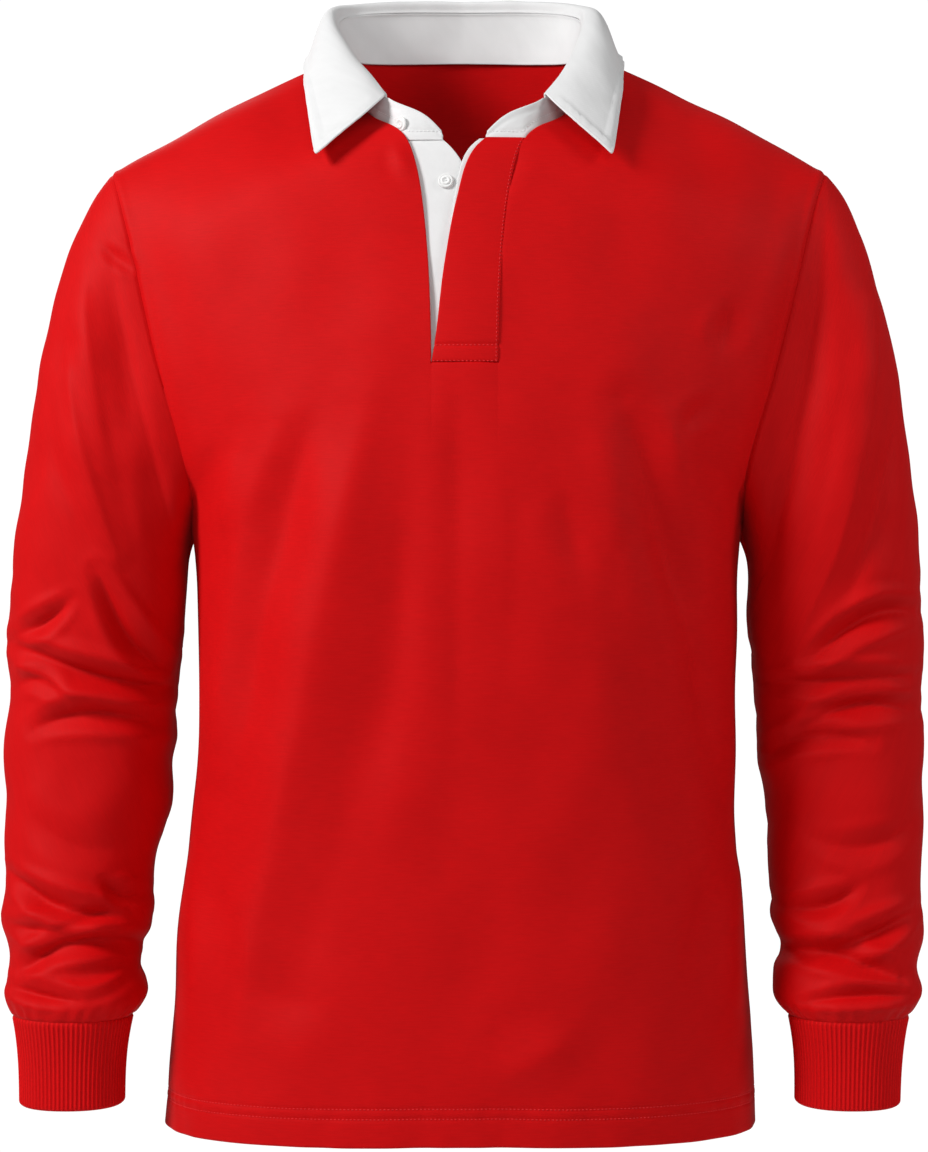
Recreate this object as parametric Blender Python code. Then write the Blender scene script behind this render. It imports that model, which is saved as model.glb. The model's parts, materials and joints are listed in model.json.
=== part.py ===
"""A long-sleeved rugby shirt in its worn shape with no wearer, in metres, +Z up, front facing -Y.

The origin is where the wearer's neck and shoulders hold it, midway between the two shoulder neck points.
The cloth pieces are first laid out as skins (points on the face of the cloth). Pieces that are sewn together
share their border points, so each skin can be pulled back by half a seam gap and thickened along shared
normals. +X is the wearer's left, so the overlap of the placket is joined to the front on the +X side.
"""

import math
from collections import namedtuple

import bpy
import numpy as np
from mathutils import Vector
from mathutils.bvhtree import BVHTree

# Driving dimensions, in metres
CLOTH = 0.0020          # wall of the jersey and of the white twill
RIB = 0.0026            # wall of the ribbed cuffs
SEAM_GAP = 0.0003       # between pieces that are sewn together
LAYER_GAP = 0.0006      # between pieces that lie on each other
NECK_CORNER = 0.13      # where the neckline meets the placket, down the front panel
PLACKET_FOOT = 0.26     # where the placket ends, down the front panel
UNDERARM = 0.305        # where the armhole closes, down the front and back panels
HEM = 0.69              # the hem, down the front and back panels
SLEEVE_END = 0.585      # where the sleeve meets its cuff, down the arm
CUFF_END = 0.645        # the end of the cuff, down the arm
NECK_SHARE = 0.307      # the back neckline's share of the half back's width
SLEEVE_BLEND = 0.14     # how far down the arm the armhole's shape fades out
ROUNDNESS = 0.92        # 1 gives elliptical sections, less gives squarer ones
SAG = 1.05              # above 1, a level of a panel stays high for longer before it falls to the side
SPREAD_FIRST = 0.001    # at the back neckline, how far along the panel an offset is evened out, as a share
SPREAD_MORE = 1.6       # how much that share grows for each metre down the panel
FOLD_STOPS = 25         # places along a fold's curve
FOLD_END = 0.04         # a fold's height no longer falls in this share of its length at either end
PLACKET_BULGE = 0.002   # how far the middle of the placket stands forward of its edges
BULGE_FADE = 0.05       # how far below the placket's foot the bulge is gone
FACING = 0.0012         # thickness of the overlap's white facing
FACING_PEEK = 0.0045    # how far the facing shows beside the overlap's edge, at the top
FACING_FADE = 0.075     # how far down the placket it no longer shows
FACING_INSET = 0.0006   # how far it then lies behind that edge
FACING_SEAM = 0.97      # the share of the half width at which it is sewn in
UNDERLAP_REACH = 1.25   # the share of the half width to which the underlap goes on under the front
UNDERLAP_TUCK = 0.004   # how far the underlap goes on below the placket's foot
LEAF_CLEARANCE = 0.0028 # from the face of the red panels to the face of the collar leaf
LEAF_REACH = 0.012      # how deep inside the panels a point of the leaf is still moved out
LEAF_FREE_ROWS = 2      # rows of the leaf at its roll, which don't touch the panels
BUTTON_THICKNESS = 0.0024
BUTTON_SIDES = 20

# Where the two buttons sit, seen from the front
Seat = namedtuple("Seat", "x z radius")
NECK_BUTTON = Seat(-0.0398, -0.0580, 0.0058)
PLACKET_BUTTON = Seat(-0.0118, -0.0978, 0.0050)

# Half of a button's section, as shares of its radius and of its thickness
Turned = namedtuple("Turned", "out high")
BUTTON_PROFILE = [
    Turned(0.00, 0.00),
    Turned(0.82, 0.00),
    Turned(1.00, 0.35),
    Turned(1.00, 0.75),
    Turned(0.90, 1.00),
    Turned(0.70, 0.95),
    Turned(0.60, 0.65),
    Turned(0.00, 0.65),
]

# How finely the skins are divided
ROWS_NECK = 4           # shoulder seam to neck corner
ROWS_PLACKET = 5        # neck corner to placket foot
ROWS_CHEST = 2          # placket foot to underarm
ROWS_BODY = 10          # underarm to hem
COLUMNS_HALF = 8        # placket or neckline to armhole and side seam
COLUMNS_NECK = 4        # centre back to shoulder neck point
COLUMNS_PLACKET = 4     # across the placket
ROWS_SLEEVE = 22
ROWS_CUFF = 2
ROWS_BAND = 2
ROWS_LEAF = 5

# One row for each level of the front panel's +X half, from the shoulder seam down. "outer" is on the armhole
# and side seam, "inner" on the neckline and then beside the placket. "turn" is how far round the side the
# level reaches, in degrees, and "swell" how far its middle stands forward.
Level = namedtuple("Level", "down outer_x outer_y outer_z inner_x inner_y inner_z turn swell")
FRONT = [
    Level(0.000, 0.2415, 0.004, -0.0780, 0.0800, 0.005, 0.0040, 20, 0.000),
    Level(0.022, 0.2385, -0.018, -0.0820, 0.0785, -0.012, -0.0100, 30, 0.003),
    Level(0.045, 0.2330, -0.035, -0.0950, 0.0735, -0.030, -0.0265, 40, 0.006),
    Level(0.090, 0.2205, -0.053, -0.1370, 0.0580, -0.066, -0.0510, 52, 0.009),
    Level(NECK_CORNER, 0.2110, -0.059, -0.1780, 0.0375, -0.088, -0.0672, 60, 0.007),
    Level(0.170, 0.2015, -0.061, -0.2160, 0.0266, -0.101, -0.1090, 66, 0.004),
    Level(0.215, 0.1895, -0.057, -0.2580, 0.0219, -0.115, -0.1620, 74, 0.001),
    Level(PLACKET_FOOT, 0.1825, -0.038, -0.2980, 0.0205, -0.124, -0.2165, 83, 0.000),
    Level(UNDERARM, 0.1850, 0.004, -0.3280, 0.0205, -0.128, -0.2850, 90, 0.000),
    Level(0.330, 0.1822, 0.004, -0.3530, 0.0205, -0.129, -0.3180, 90, 0.000),
    Level(0.390, 0.1820, 0.004, -0.4180, 0.0205, -0.129, -0.3930, 90, 0.000),
    Level(0.460, 0.1850, 0.004, -0.5000, 0.0205, -0.126, -0.4830, 90, 0.000),
    Level(0.580, 0.1940, 0.004, -0.6200, 0.0205, -0.124, -0.6080, 90, 0.000),
    Level(HEM, 0.2015, 0.004, -0.7265, 0.0205, -0.125, -0.7190, 90, 0.000),
]
BACK = [
    Level(0.000, 0.2415, 0.004, -0.0780, 0.0, 0.075, 0.0130, 40, 0.000),
    Level(0.022, 0.2395, 0.024, -0.0815, 0.0, 0.083, -0.0070, 45, 0.000),
    Level(0.045, 0.2345, 0.039, -0.0945, 0.0, 0.091, -0.0280, 50, 0.000),
    Level(0.090, 0.2235, 0.055, -0.1370, 0.0, 0.102, -0.0680, 56, 0.000),
    Level(NECK_CORNER, 0.2145, 0.060, -0.1770, 0.0, 0.110, -0.1080, 62, 0.000),
    Level(0.170, 0.2045, 0.062, -0.2150, 0.0, 0.115, -0.1500, 66, 0.000),
    Level(0.215, 0.1920, 0.058, -0.2570, 0.0, 0.117, -0.1980, 74, 0.000),
    Level(PLACKET_FOOT, 0.1840, 0.041, -0.2975, 0.0, 0.116, -0.2460, 83, 0.000),
    Level(UNDERARM, 0.1850, 0.004, -0.3280, 0.0, 0.113, -0.2950, 90, 0.000),
    Level(0.330, 0.1822, 0.004, -0.3530, 0.0, 0.110, -0.3240, 90, 0.000),
    Level(0.390, 0.1820, 0.004, -0.4180, 0.0, 0.104, -0.3950, 90, 0.000),
    Level(0.460, 0.1850, 0.004, -0.5000, 0.0, 0.100, -0.4830, 90, 0.000),
    Level(0.580, 0.1940, 0.004, -0.6200, 0.0, 0.105, -0.6080, 90, 0.000),
    Level(HEM, 0.2015, 0.004, -0.7265, 0.0, 0.116, -0.7210, 90, 0.000),
]

# One row for each ring of the +X sleeve and cuff, from the armhole down the arm. "outer" is the side away
# from the body and "inner" the side next to it.
Ring = namedtuple("Ring", "down outer_x outer_z inner_x inner_z middle_y front back")
SLEEVE = [
    Ring(0.000, 0.2415, -0.0780, 0.1850, -0.3280, 0.004, 0.064, 0.062),
    Ring(0.018, 0.2528, -0.0930, 0.1872, -0.3365, 0.0035, 0.065, 0.063),
    Ring(0.040, 0.2625, -0.1150, 0.1885, -0.3430, 0.003, 0.066, 0.064),
    Ring(0.090, 0.2790, -0.1660, 0.1900, -0.3560, 0.002, 0.066, 0.063),
    Ring(0.150, 0.2915, -0.2320, 0.1908, -0.3740, 0.002, 0.064, 0.062),
    Ring(0.210, 0.3015, -0.2980, 0.1925, -0.3960, 0.003, 0.061, 0.060),
    Ring(0.270, 0.3095, -0.3600, 0.1955, -0.4220, 0.005, 0.059, 0.058),
    Ring(0.330, 0.3125, -0.4180, 0.1985, -0.4530, 0.008, 0.057, 0.057),
    Ring(0.390, 0.3135, -0.4800, 0.2030, -0.4920, 0.006, 0.055, 0.055),
    Ring(0.450, 0.3125, -0.5370, 0.2085, -0.5400, 0.000, 0.053, 0.052),
    Ring(0.510, 0.3110, -0.5900, 0.2130, -0.5920, -0.012, 0.050, 0.050),
    Ring(0.555, 0.3095, -0.6280, 0.2145, -0.6290, -0.022, 0.048, 0.048),
    Ring(SLEEVE_END, 0.3020, -0.6480, 0.2185, -0.6490, -0.029, 0.041, 0.039),
    Ring(0.603, 0.2985, -0.6660, 0.2215, -0.6660, -0.031, 0.037, 0.036),
    Ring(CUFF_END, 0.2955, -0.7070, 0.2230, -0.7070, -0.035, 0.035, 0.033),
]

# The collar's +X half, from the centre back to the front end of the band. "run" is the share of the way along
# the neckline. "top" is where the band ends and the leaf rolls over, "roll" steers the roll and "edge" is the
# leaf's outer edge, up to the leaf's front end at LEAF_RUN, which is the last of the LEAF_STATIONS.
Station = namedtuple("Station", "run top_x top_y top_z roll_x roll_y roll_z edge_x edge_y edge_z")
LEAF_RUN = 0.79
LEAF_STATIONS = 6
COLLAR = [
    Station(0.00, 0.0000, 0.0680, 0.0530, 0.0000, 0.0840, 0.0620, 0.0000, 0.0890, 0.0030),
    Station(0.16, 0.0450, 0.0600, 0.0512, 0.0480, 0.0760, 0.0612, 0.0530, 0.0840, 0.0010),
    Station(0.30, 0.0770, 0.0420, 0.0445, 0.0865, 0.0520, 0.0562, 0.0935, 0.0560, -0.0030),
    Station(0.44, 0.0845, 0.0100, 0.0300, 0.0950, 0.0100, 0.0445, 0.1068, 0.0080, -0.0070),
    Station(0.60, 0.0735, -0.0240, 0.0000, 0.0840, -0.0280, 0.0115, 0.1055, -0.0400, -0.0300),
    Station(LEAF_RUN, 0.0515, -0.0660, -0.0360, 0.0545, -0.0880, -0.0440, 0.0965, -0.0980, -0.0810),
    Station(0.90, 0.0370, -0.0800, -0.0455, 0, 0, 0, 0, 0, 0),
    Station(0.96, 0.0230, -0.0850, -0.0535, 0, 0, 0, 0, 0, 0),
    Station(1.00, 0.0140, -0.0860, -0.0625, 0, 0, 0, 0, 0, 0),
]

# The placket's free edges down the front, as shares of the half width between the front's two edges
Opening = namedtuple("Opening", "down overlap underlap")
PLACKET = [
    Opening(NECK_CORNER, 0.36, -0.36),
    Opening(0.140, 0.18, -0.18),
    Opening(0.151, 0.03, 0.03),
    Opening(0.166, -0.13, 0.28),
    Opening(0.180, -0.29, 0.46),
    Opening(0.197, -0.46, 0.62),
    Opening(0.213, -0.61, 0.71),
    Opening(0.231, -0.74, 0.77),
    Opening(0.249, -0.88, 0.78),
    Opening(PLACKET_FOOT, -1.00, 0.78),
]

# The shirt doesn't hang quite evenly: how far its -X side ("right") and +X side ("left") are moved in x
Lean = namedtuple("Lean", "up right left")
LEAN_WIDTH = 0.08       # the shift is full from this far out
LEANS = [
    Lean(-0.740, -0.004, -0.002),
    Lean(-0.650, -0.003, -0.001),
    Lean(-0.550, -0.001, 0.000),
    Lean(-0.450, 0.001, 0.002),
    Lean(-0.400, 0.000, 0.004),
    Lean(-0.300, 0.000, 0.005),
    Lean(-0.150, -0.001, 0.007),
    Lean(-0.080, 0.000, 0.006),
    Lean(0.070, 0.000, 0.004),
]

# The largest folds, each a curve through three places seen from the front (side -1) or the back (side 1)
Fold = namedtuple("Fold", "side start_x start_z middle_x middle_z end_x end_z half_width height")
FOLDS = [
    Fold(-1, -0.112, -0.270, -0.149, -0.372, -0.172, -0.520, 0.026, 0.005),
    Fold(-1, -0.098, -0.276, -0.134, -0.383, -0.146, -0.460, 0.024, -0.006),
    Fold(-1, -0.066, -0.280, -0.112, -0.410, -0.167, -0.647, 0.026, 0.005),
    Fold(-1, -0.054, -0.290, -0.076, -0.410, -0.102, -0.520, 0.026, -0.006),
    Fold(-1, 0.103, -0.272, 0.132, -0.362, 0.172, -0.500, 0.026, -0.006),
    Fold(-1, 0.126, -0.272, 0.152, -0.340, 0.174, -0.430, 0.022, 0.004),
    Fold(-1, 0.070, -0.300, 0.110, -0.420, 0.160, -0.545, 0.028, -0.005),
    Fold(-1, -0.240, -0.175, -0.218, -0.255, -0.193, -0.335, 0.024, -0.007),
    Fold(-1, -0.252, -0.150, -0.247, -0.215, -0.232, -0.290, 0.024, 0.004),
    Fold(-1, 0.258, -0.165, 0.238, -0.300, 0.203, -0.410, 0.024, 0.005),
    Fold(-1, 0.232, -0.160, 0.222, -0.240, 0.196, -0.330, 0.022, -0.006),
    Fold(-1, -0.310, -0.392, -0.258, -0.410, -0.193, -0.432, 0.024, -0.007),
    Fold(-1, -0.310, -0.456, -0.250, -0.446, -0.196, -0.462, 0.022, -0.005),
    Fold(-1, 0.312, -0.378, 0.262, -0.386, 0.205, -0.424, 0.024, -0.007),
    Fold(-1, 0.312, -0.448, 0.255, -0.440, 0.205, -0.466, 0.022, -0.005),
    Fold(-1, -0.312, -0.560, -0.260, -0.578, -0.212, -0.570, 0.022, -0.005),
    Fold(-1, -0.306, -0.622, -0.262, -0.610, -0.216, -0.618, 0.020, -0.004),
    Fold(-1, 0.312, -0.575, 0.262, -0.592, 0.212, -0.600, 0.022, -0.005),
    Fold(-1, 0.308, -0.622, 0.258, -0.606, 0.216, -0.622, 0.020, -0.004),
    Fold(1, -0.160, -0.260, -0.120, -0.330, -0.060, -0.420, 0.034, -0.007),
    Fold(1, 0.160, -0.270, 0.115, -0.350, 0.040, -0.450, 0.034, -0.007),
    Fold(1, -0.150, -0.330, -0.110, -0.430, -0.070, -0.560, 0.032, -0.006),
    Fold(1, 0.155, -0.350, 0.118, -0.460, 0.085, -0.600, 0.032, -0.006),
    Fold(1, -0.030, -0.430, -0.010, -0.520, 0.010, -0.620, 0.036, -0.005),
    Fold(1, -0.312, -0.350, -0.262, -0.372, -0.200, -0.400, 0.024, -0.006),
    Fold(1, 0.312, -0.360, 0.262, -0.380, 0.200, -0.405, 0.024, -0.006),
    Fold(1, -0.312, -0.500, -0.262, -0.520, -0.210, -0.520, 0.024, -0.005),
    Fold(1, 0.312, -0.490, 0.262, -0.515, 0.210, -0.525, 0.024, -0.005),
]


# ---------------------------------------------------------------- curves and sections

def spline(knots, values, at):
    """The natural cubic spline through (knots, values), read at the positions "at"."""
    knots = np.asarray(knots, float)
    values = np.asarray(values, float)
    at = np.asarray(at, float)
    step = np.diff(knots)
    count = len(knots)
    matrix = np.eye(count)
    right = np.zeros(count)
    for i in range(1, count - 1):
        matrix[i, i - 1:i + 2] = step[i - 1], 2 * (step[i - 1] + step[i]), step[i]
        right[i] = 6 * ((values[i + 1] - values[i]) / step[i] - (values[i] - values[i - 1]) / step[i - 1])
    bend = np.linalg.solve(matrix, right)
    i = np.clip(np.searchsorted(knots, at, side="right") - 1, 0, count - 2)
    a = (knots[i + 1] - at) / step[i]
    b = 1 - a
    curve = ((a**3 - a) * bend[i] + (b**3 - b) * bend[i + 1]) * step[i] ** 2 / 6
    return a * values[i] + b * values[i + 1] + curve


def read(table, at):
    """The table's columns at the values "at" of its first column, as a row that holds arrays."""
    names = table[0]._fields
    knots = [row[0] for row in table]
    return type(table[0])(*[spline(knots, [getattr(row, name) for row in table], at) for name in names])


def ease(share):
    """0 to 1 with level ends."""
    share = np.clip(share, 0, 1)
    return share * share * (3 - 2 * share)


def power(value, exponent):
    return np.sign(value) * np.abs(value) ** exponent


def level_arc(table, down, across):
    """Points of a half panel, where "across" runs from 0, inner, to 1, outer."""
    level = read(table, down)
    turn = np.radians(np.minimum(level.turn, 90))
    phi = across * turn
    sideways = np.sin(phi) ** ROUNDNESS / np.sin(turn) ** ROUNDNESS
    backwards = (1 - power(np.cos(phi), ROUNDNESS)) / (1 - power(np.cos(turn), ROUNDNESS))
    swell = level.swell * np.sin(math.pi * across)
    x = level.inner_x + (level.outer_x - level.inner_x) * sideways
    y = level.inner_y + (level.outer_y - level.inner_y) * backwards - swell
    z = level.inner_z + (level.outer_z - level.inner_z) * across**SAG
    return np.stack([x, y, z], axis=-1)


def panel_rows():
    """The distances down a panel at which it has a row of points."""
    stops = [(0, NECK_CORNER, ROWS_NECK), (NECK_CORNER, PLACKET_FOOT, ROWS_PLACKET),
             (PLACKET_FOOT, UNDERARM, ROWS_CHEST), (UNDERARM, HEM, ROWS_BODY)]
    rows = [np.linspace(start, end, count + 1)[:-1] for start, end, count in stops]
    return np.concatenate([*rows, [HEM]])


def front_half():
    """The +X half of the front panel as a grid of points, rows down and columns outwards."""
    down, across = np.meshgrid(panel_rows(), np.linspace(0, 1, COLUMNS_HALF + 1), indexing="ij")
    return level_arc(FRONT, down, across)


def placket_points(down, share):
    """Points between the front's two edges. share runs from -1 at the -X edge to 1 at the +X edge."""
    level = read(FRONT, down)
    share = np.broadcast_to(share, np.shape(level.down))
    bulge = PLACKET_BULGE * (1 - ease((level.down - PLACKET_FOOT) / BULGE_FADE))
    y = level.inner_y - bulge * (1 - share**2)
    return np.stack([level.inner_x * share, y, level.inner_z], axis=-1)


def back_half(front):
    """The +X half of the back panel. Its top row is the back neckline and then the front's shoulder seam."""
    turn = np.linspace(0, math.pi / 2, COLUMNS_NECK + 1)[:-1]
    across = np.concatenate([NECK_SHARE * np.sin(turn), np.linspace(NECK_SHARE, 1, COLUMNS_HALF + 1)])
    down, across = np.meshgrid(panel_rows(), across, indexing="ij")
    grid = level_arc(BACK, down, across)
    on_side = (down >= UNDERARM - 1e-9)[..., None]
    grid = grid + (front[:, -1:] - grid[:, -1:]) * on_side * across[..., None] ** 2
    neck_point = front[0, 0]
    middle = grid[0, 0]
    shape = np.stack([1 - np.sin(turn), np.cos(turn), np.cos(turn) ** 2], axis=1)
    neckline = neck_point + (middle - neck_point) * shape
    top = np.concatenate([neckline, front[0]])
    offset = spread_out(top - grid[0], across[0], panel_rows())
    return grid + offset * (1 - ease(down / NECK_CORNER))[..., None]


def spread_out(offset, across, down):
    """A row of offsets copied to every row, evened out over more of its neighbours the further down it is."""
    apart = across[:, None] - across[None]
    mirror = across[:, None] + across[None]
    width = SPREAD_FIRST + SPREAD_MORE * down[:, None, None]
    weight = (np.exp(-((apart / width) ** 2)) + np.exp(-((mirror / width) ** 2))) * np.gradient(across)
    return weight @ offset / weight.sum(axis=2, keepdims=True)


def armhole_loop(front, back):
    """The armhole's points, from the shoulder point down the front to the underarm and up the back."""
    last = ROWS_NECK + ROWS_PLACKET + ROWS_CHEST
    return np.concatenate([front[:last + 1, -1], back[1:last, -1][::-1]])


def ring_points(down, turn):
    """Points of the +X sleeve or cuff. turn is 0 at the outside of the arm, a quarter turn at its front."""
    ring = read(SLEEVE, down)
    outward = power(np.cos(turn), ROUNDNESS)
    forward = power(np.sin(turn), ROUNDNESS)
    x = (ring.outer_x + ring.inner_x) / 2 + (ring.outer_x - ring.inner_x) / 2 * outward
    z = (ring.outer_z + ring.inner_z) / 2 + (ring.outer_z - ring.inner_z) / 2 * outward
    y = ring.middle_y - np.where(forward > 0, ring.front, ring.back) * forward
    return np.stack([x, y, z], axis=-1)


def arm_grid(start, end, rows, columns):
    turn = np.linspace(0, 2 * math.pi, columns + 1)[:-1]
    down, turn = np.meshgrid(np.linspace(start, end, rows + 1), turn, indexing="ij")
    return ring_points(down, turn)


def sleeve_grid(loop):
    """The +X sleeve as rings of points, the first one on the armhole."""
    grid = arm_grid(0, SLEEVE_END, ROWS_SLEEVE, len(loop))
    down = np.linspace(0, SLEEVE_END, ROWS_SLEEVE + 1)[:, None, None]
    return grid + (loop - grid[0])[None] * (1 - ease(down / SLEEVE_BLEND))


# ---------------------------------------------------------------- lean and folds

def leaning(points):
    lean = read(LEANS, points[:, 2])
    share = np.clip(points[:, 0] / LEAN_WIDTH, -1, 1)
    shift = np.where(share < 0, lean.right, lean.left) * np.abs(share)
    return points + np.stack([shift, 0 * shift, 0 * shift], axis=-1)


def fold_heights(points, normals):
    """How far the folds lift each point along its normal."""
    heights = np.zeros(len(points))
    for fold in FOLDS:
        t = np.linspace(0, 1, FOLD_STOPS)[:, None]
        start = np.array([fold.start_x, fold.start_z])
        middle = np.array([fold.middle_x, fold.middle_z])
        end = np.array([fold.end_x, fold.end_z])
        curve = start * (1 - t) * (1 - 2 * t) + middle * 4 * t * (1 - t) + end * t * (2 * t - 1)
        apart = np.linalg.norm(points[:, None, ::2] - curve[None], axis=2)
        near = apart.argmin(axis=1)
        profile = (1 + np.cos(math.pi * np.clip(apart.min(axis=1) / fold.half_width, 0, 1))) / 2
        taper = np.sqrt(np.sin(math.pi * np.clip(t[near, 0], FOLD_END, 1 - FOLD_END)))
        facing = np.clip(2 * fold.side * normals[:, 1], 0, 1)
        heights += fold.height * profile * taper * facing
    return heights


# ---------------------------------------------------------------- skins and walls

Skin = namedtuple("Skin", "points faces")


def grid_skin(grid, closed=False, left_out=None):
    """A skin from rows and columns of points. left_out(row, column) is true for a cell that isn't cloth.

    Seen from the face of the cloth, columns run to the left and rows run down.
    """
    rows, columns = grid.shape[:2]
    faces = []
    for r in range(rows - 1):
        for c in range(columns if closed else columns - 1):
            if left_out is None or not left_out(r, c):
                d = (c + 1) % columns
                face = (r * columns + c, r * columns + d, (r + 1) * columns + d, (r + 1) * columns + c)
                on_right = grid[r, c, 0] + grid[r, d, 0] < 0
                faces.append(face[1:] + face[:1] if on_right else face)
    used = sorted({i for face in faces for i in face})
    place = {old: new for new, old in enumerate(used)}
    return Skin(grid.reshape(-1, 3)[used], [tuple(place[i] for i in face) for face in faces])


def turned(face):
    """The face seen from its other side, starting at the same corner."""
    return face[:1] + face[:0:-1]


def mirrored(skin):
    """The skin on the other side of the body, its faces still facing out."""
    return Skin(skin.points * [-1, 1, 1], [turned(face) for face in skin.faces])


def face_normals(skin):
    corners = skin.points[np.array(skin.faces)]
    return np.cross(corners[:, 2] - corners[:, 0], corners[:, 3] - corners[:, 1])


def shared_normals(skins):
    """Unit normals of every skin's points. Points that several skins share get one normal."""
    total = {}
    keys = {name: [tuple(key) for key in np.round(skin.points * 1e6).astype(int)]
            for name, skin in skins.items()}
    for name, skin in skins.items():
        for face, normal in zip(skin.faces, face_normals(skin)):
            for i in face:
                total[keys[name][i]] = total.get(keys[name][i], np.zeros(3)) + normal
    found = {}
    for name in skins:
        normals = np.array([total[key] for key in keys[name]])
        found[name] = normals / np.linalg.norm(normals, axis=1, keepdims=True)
    return found


def border(faces):
    """The directed border edges of a skin, as a start and an end for each."""
    edges = {(a, b) for face in faces for a, b in zip(face, face[1:] + face[:1])}
    return sorted((a, b) for a, b in edges if (b, a) not in edges)


def pulled_back(skin, gap):
    """The skin with its border moved inwards by the gap, square to the border and along the cloth."""
    edges = border(skin.faces)
    beside = {edge: face for face in skin.faces for edge in zip(face, face[1:] + face[:1])}
    pull = np.zeros_like(skin.points)
    for a, b in edges:
        along = skin.points[b] - skin.points[a]
        along /= np.linalg.norm(along)
        inwards = skin.points[list(beside[a, b])].mean(axis=0) - (skin.points[a] + skin.points[b]) / 2
        inwards -= np.dot(inwards, along) * along
        inwards /= np.linalg.norm(inwards)
        pull[a] += inwards
        pull[b] += inwards
    size = np.sum(pull**2, axis=1, keepdims=True)
    return Skin(skin.points + gap * 2 * pull / np.maximum(size, 1), skin.faces)


def add_mesh(name, points, faces, material):
    mesh = bpy.data.meshes.new(name)
    mesh.from_pydata([tuple(p) for p in points], [], faces)
    mesh.shade_smooth()
    mesh.materials.append(material)
    made = bpy.data.objects.new(name, mesh)
    bpy.context.scene.collection.objects.link(made)


def rank(point):
    """Orders the two ends of a seam's edge the same way for both pieces, so that their rims split alike."""
    return point[2] + 0.4 * point[1] + 0.1 * abs(point[0])


def wall(name, skin, normals, thickness, material, lift=0.0):
    """A closed wall: the skin, moved out by lift, and the same skin one thickness further in."""
    count = len(skin.points)
    face = pulled_back(skin, SEAM_GAP / 2).points + normals * lift
    faces = list(skin.faces) + [tuple(i + count for i in turned(loop)) for loop in skin.faces]
    for a, b in border(skin.faces):
        if rank(skin.points[a]) > rank(skin.points[b]):
            faces += [(b, a, b + count), (a, a + count, b + count)]
        else:
            faces += [(b, a, a + count), (b, a + count, b + count)]
    add_mesh(name, np.concatenate([face, face - normals * thickness]), faces, material)


def button(name, on_piece, seat, material):
    """A round button with a raised rim, laid on the front of a piece."""
    mesh = bpy.data.objects[on_piece].data
    tree = BVHTree.FromPolygons([v.co for v in mesh.vertices], [p.vertices for p in mesh.polygons])
    centre, facing, _, _ = tree.ray_cast(Vector((seat.x, -1, seat.z)), Vector((0, 1, 0)))
    side = facing.orthogonal().normalized()
    up = facing.cross(side)
    points = []
    for out, high in BUTTON_PROFILE:
        for k in range(BUTTON_SIDES if out else 1):
            turn = 2 * math.pi * k / BUTTON_SIDES
            flat = (side * math.cos(turn) + up * math.sin(turn)) * out * seat.radius
            points.append(centre + flat + facing * (LAYER_GAP + high * BUTTON_THICKNESS))
    faces = []
    for k in range(BUTTON_SIDES):
        n = (k + 1) % BUTTON_SIDES
        faces.append((0, 1 + n, 1 + k))
        for ring in range(len(BUTTON_PROFILE) - 3):
            low = 1 + ring * BUTTON_SIDES
            faces.append((low + k, low + n, low + BUTTON_SIDES + n, low + BUTTON_SIDES + k))
        last = 1 + (len(BUTTON_PROFILE) - 3) * BUTTON_SIDES
        faces.append((last + k, last + n, len(points) - 1))
    add_mesh(name, points, faces, material)


def cloth_material(name, colour, roughness):
    made = bpy.data.materials.new(name)
    made.use_nodes = True
    shader = made.node_tree.nodes["Principled BSDF"]
    shader.inputs["Base Color"].default_value = (*colour, 1)
    shader.inputs["Roughness"].default_value = roughness
    shader.inputs["Metallic"].default_value = 0
    return made


# ---------------------------------------------------------------- the pieces

def front_skin(half):
    """Both halves and, below the placket, the strip between them."""
    shares = np.linspace(1, -1, COLUMNS_PLACKET + 1)[1:-1]
    strip = np.stack([placket_points(panel_rows(), share) for share in shares], axis=1)
    grid = np.concatenate([half[:, ::-1], strip, half * [-1, 1, 1]], axis=1)
    foot = ROWS_NECK + ROWS_PLACKET
    first = COLUMNS_HALF
    last = first + len(shares)
    return grid_skin(grid, left_out=lambda r, c: r < foot and first <= c <= last)


def back_skin(half):
    return grid_skin(np.concatenate([(half * [-1, 1, 1])[:, ::-1], half[:, 1:]], axis=1))


def overlap_skin():
    """The placket strip from the front's +X edge to its free edge, and on the front's -X edge at its foot."""
    down = panel_rows()[ROWS_NECK:ROWS_NECK + ROWS_PLACKET + 1]
    free = read(PLACKET, down).overlap
    steps = np.linspace(0, 1, COLUMNS_PLACKET + 1)
    grid = np.stack([placket_points(down, 1 + (free - 1) * step) for step in steps], axis=1)
    grid[-1, :, 0] = placket_points(down[-1:], 1)[0, 0] * (1 - 2 * steps)
    return grid_skin(grid)


def facing_skin():
    """The overlap's white facing, which shows beside its red edge towards the top."""
    down = panel_rows()[ROWS_NECK:ROWS_NECK + ROWS_PLACKET]
    peek = FACING_PEEK * (1 - ease((down - NECK_CORNER) / FACING_FADE)) - FACING_INSET
    free = read(PLACKET, down).overlap - peek / read(FRONT, down).inner_x
    reach = free - FACING_SEAM
    steps = np.linspace(0, 1, COLUMNS_PLACKET + 1)
    grid = np.stack([placket_points(down, FACING_SEAM + reach * step) for step in steps], axis=1)
    return grid_skin(grid)


def underlap_skin():
    """The strip under the overlap, from under the front's -X edge to its own free edge."""
    down = np.linspace(NECK_CORNER + LAYER_GAP, PLACKET_FOOT + UNDERLAP_TUCK, ROWS_PLACKET + 1)
    free = read(PLACKET, np.minimum(down, PLACKET_FOOT)).underlap
    steps = np.linspace(0, 1, COLUMNS_PLACKET + 1)
    grid = np.stack([placket_points(down, free - (free + UNDERLAP_REACH) * step) for step in steps], axis=1)
    return grid_skin(grid)


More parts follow.
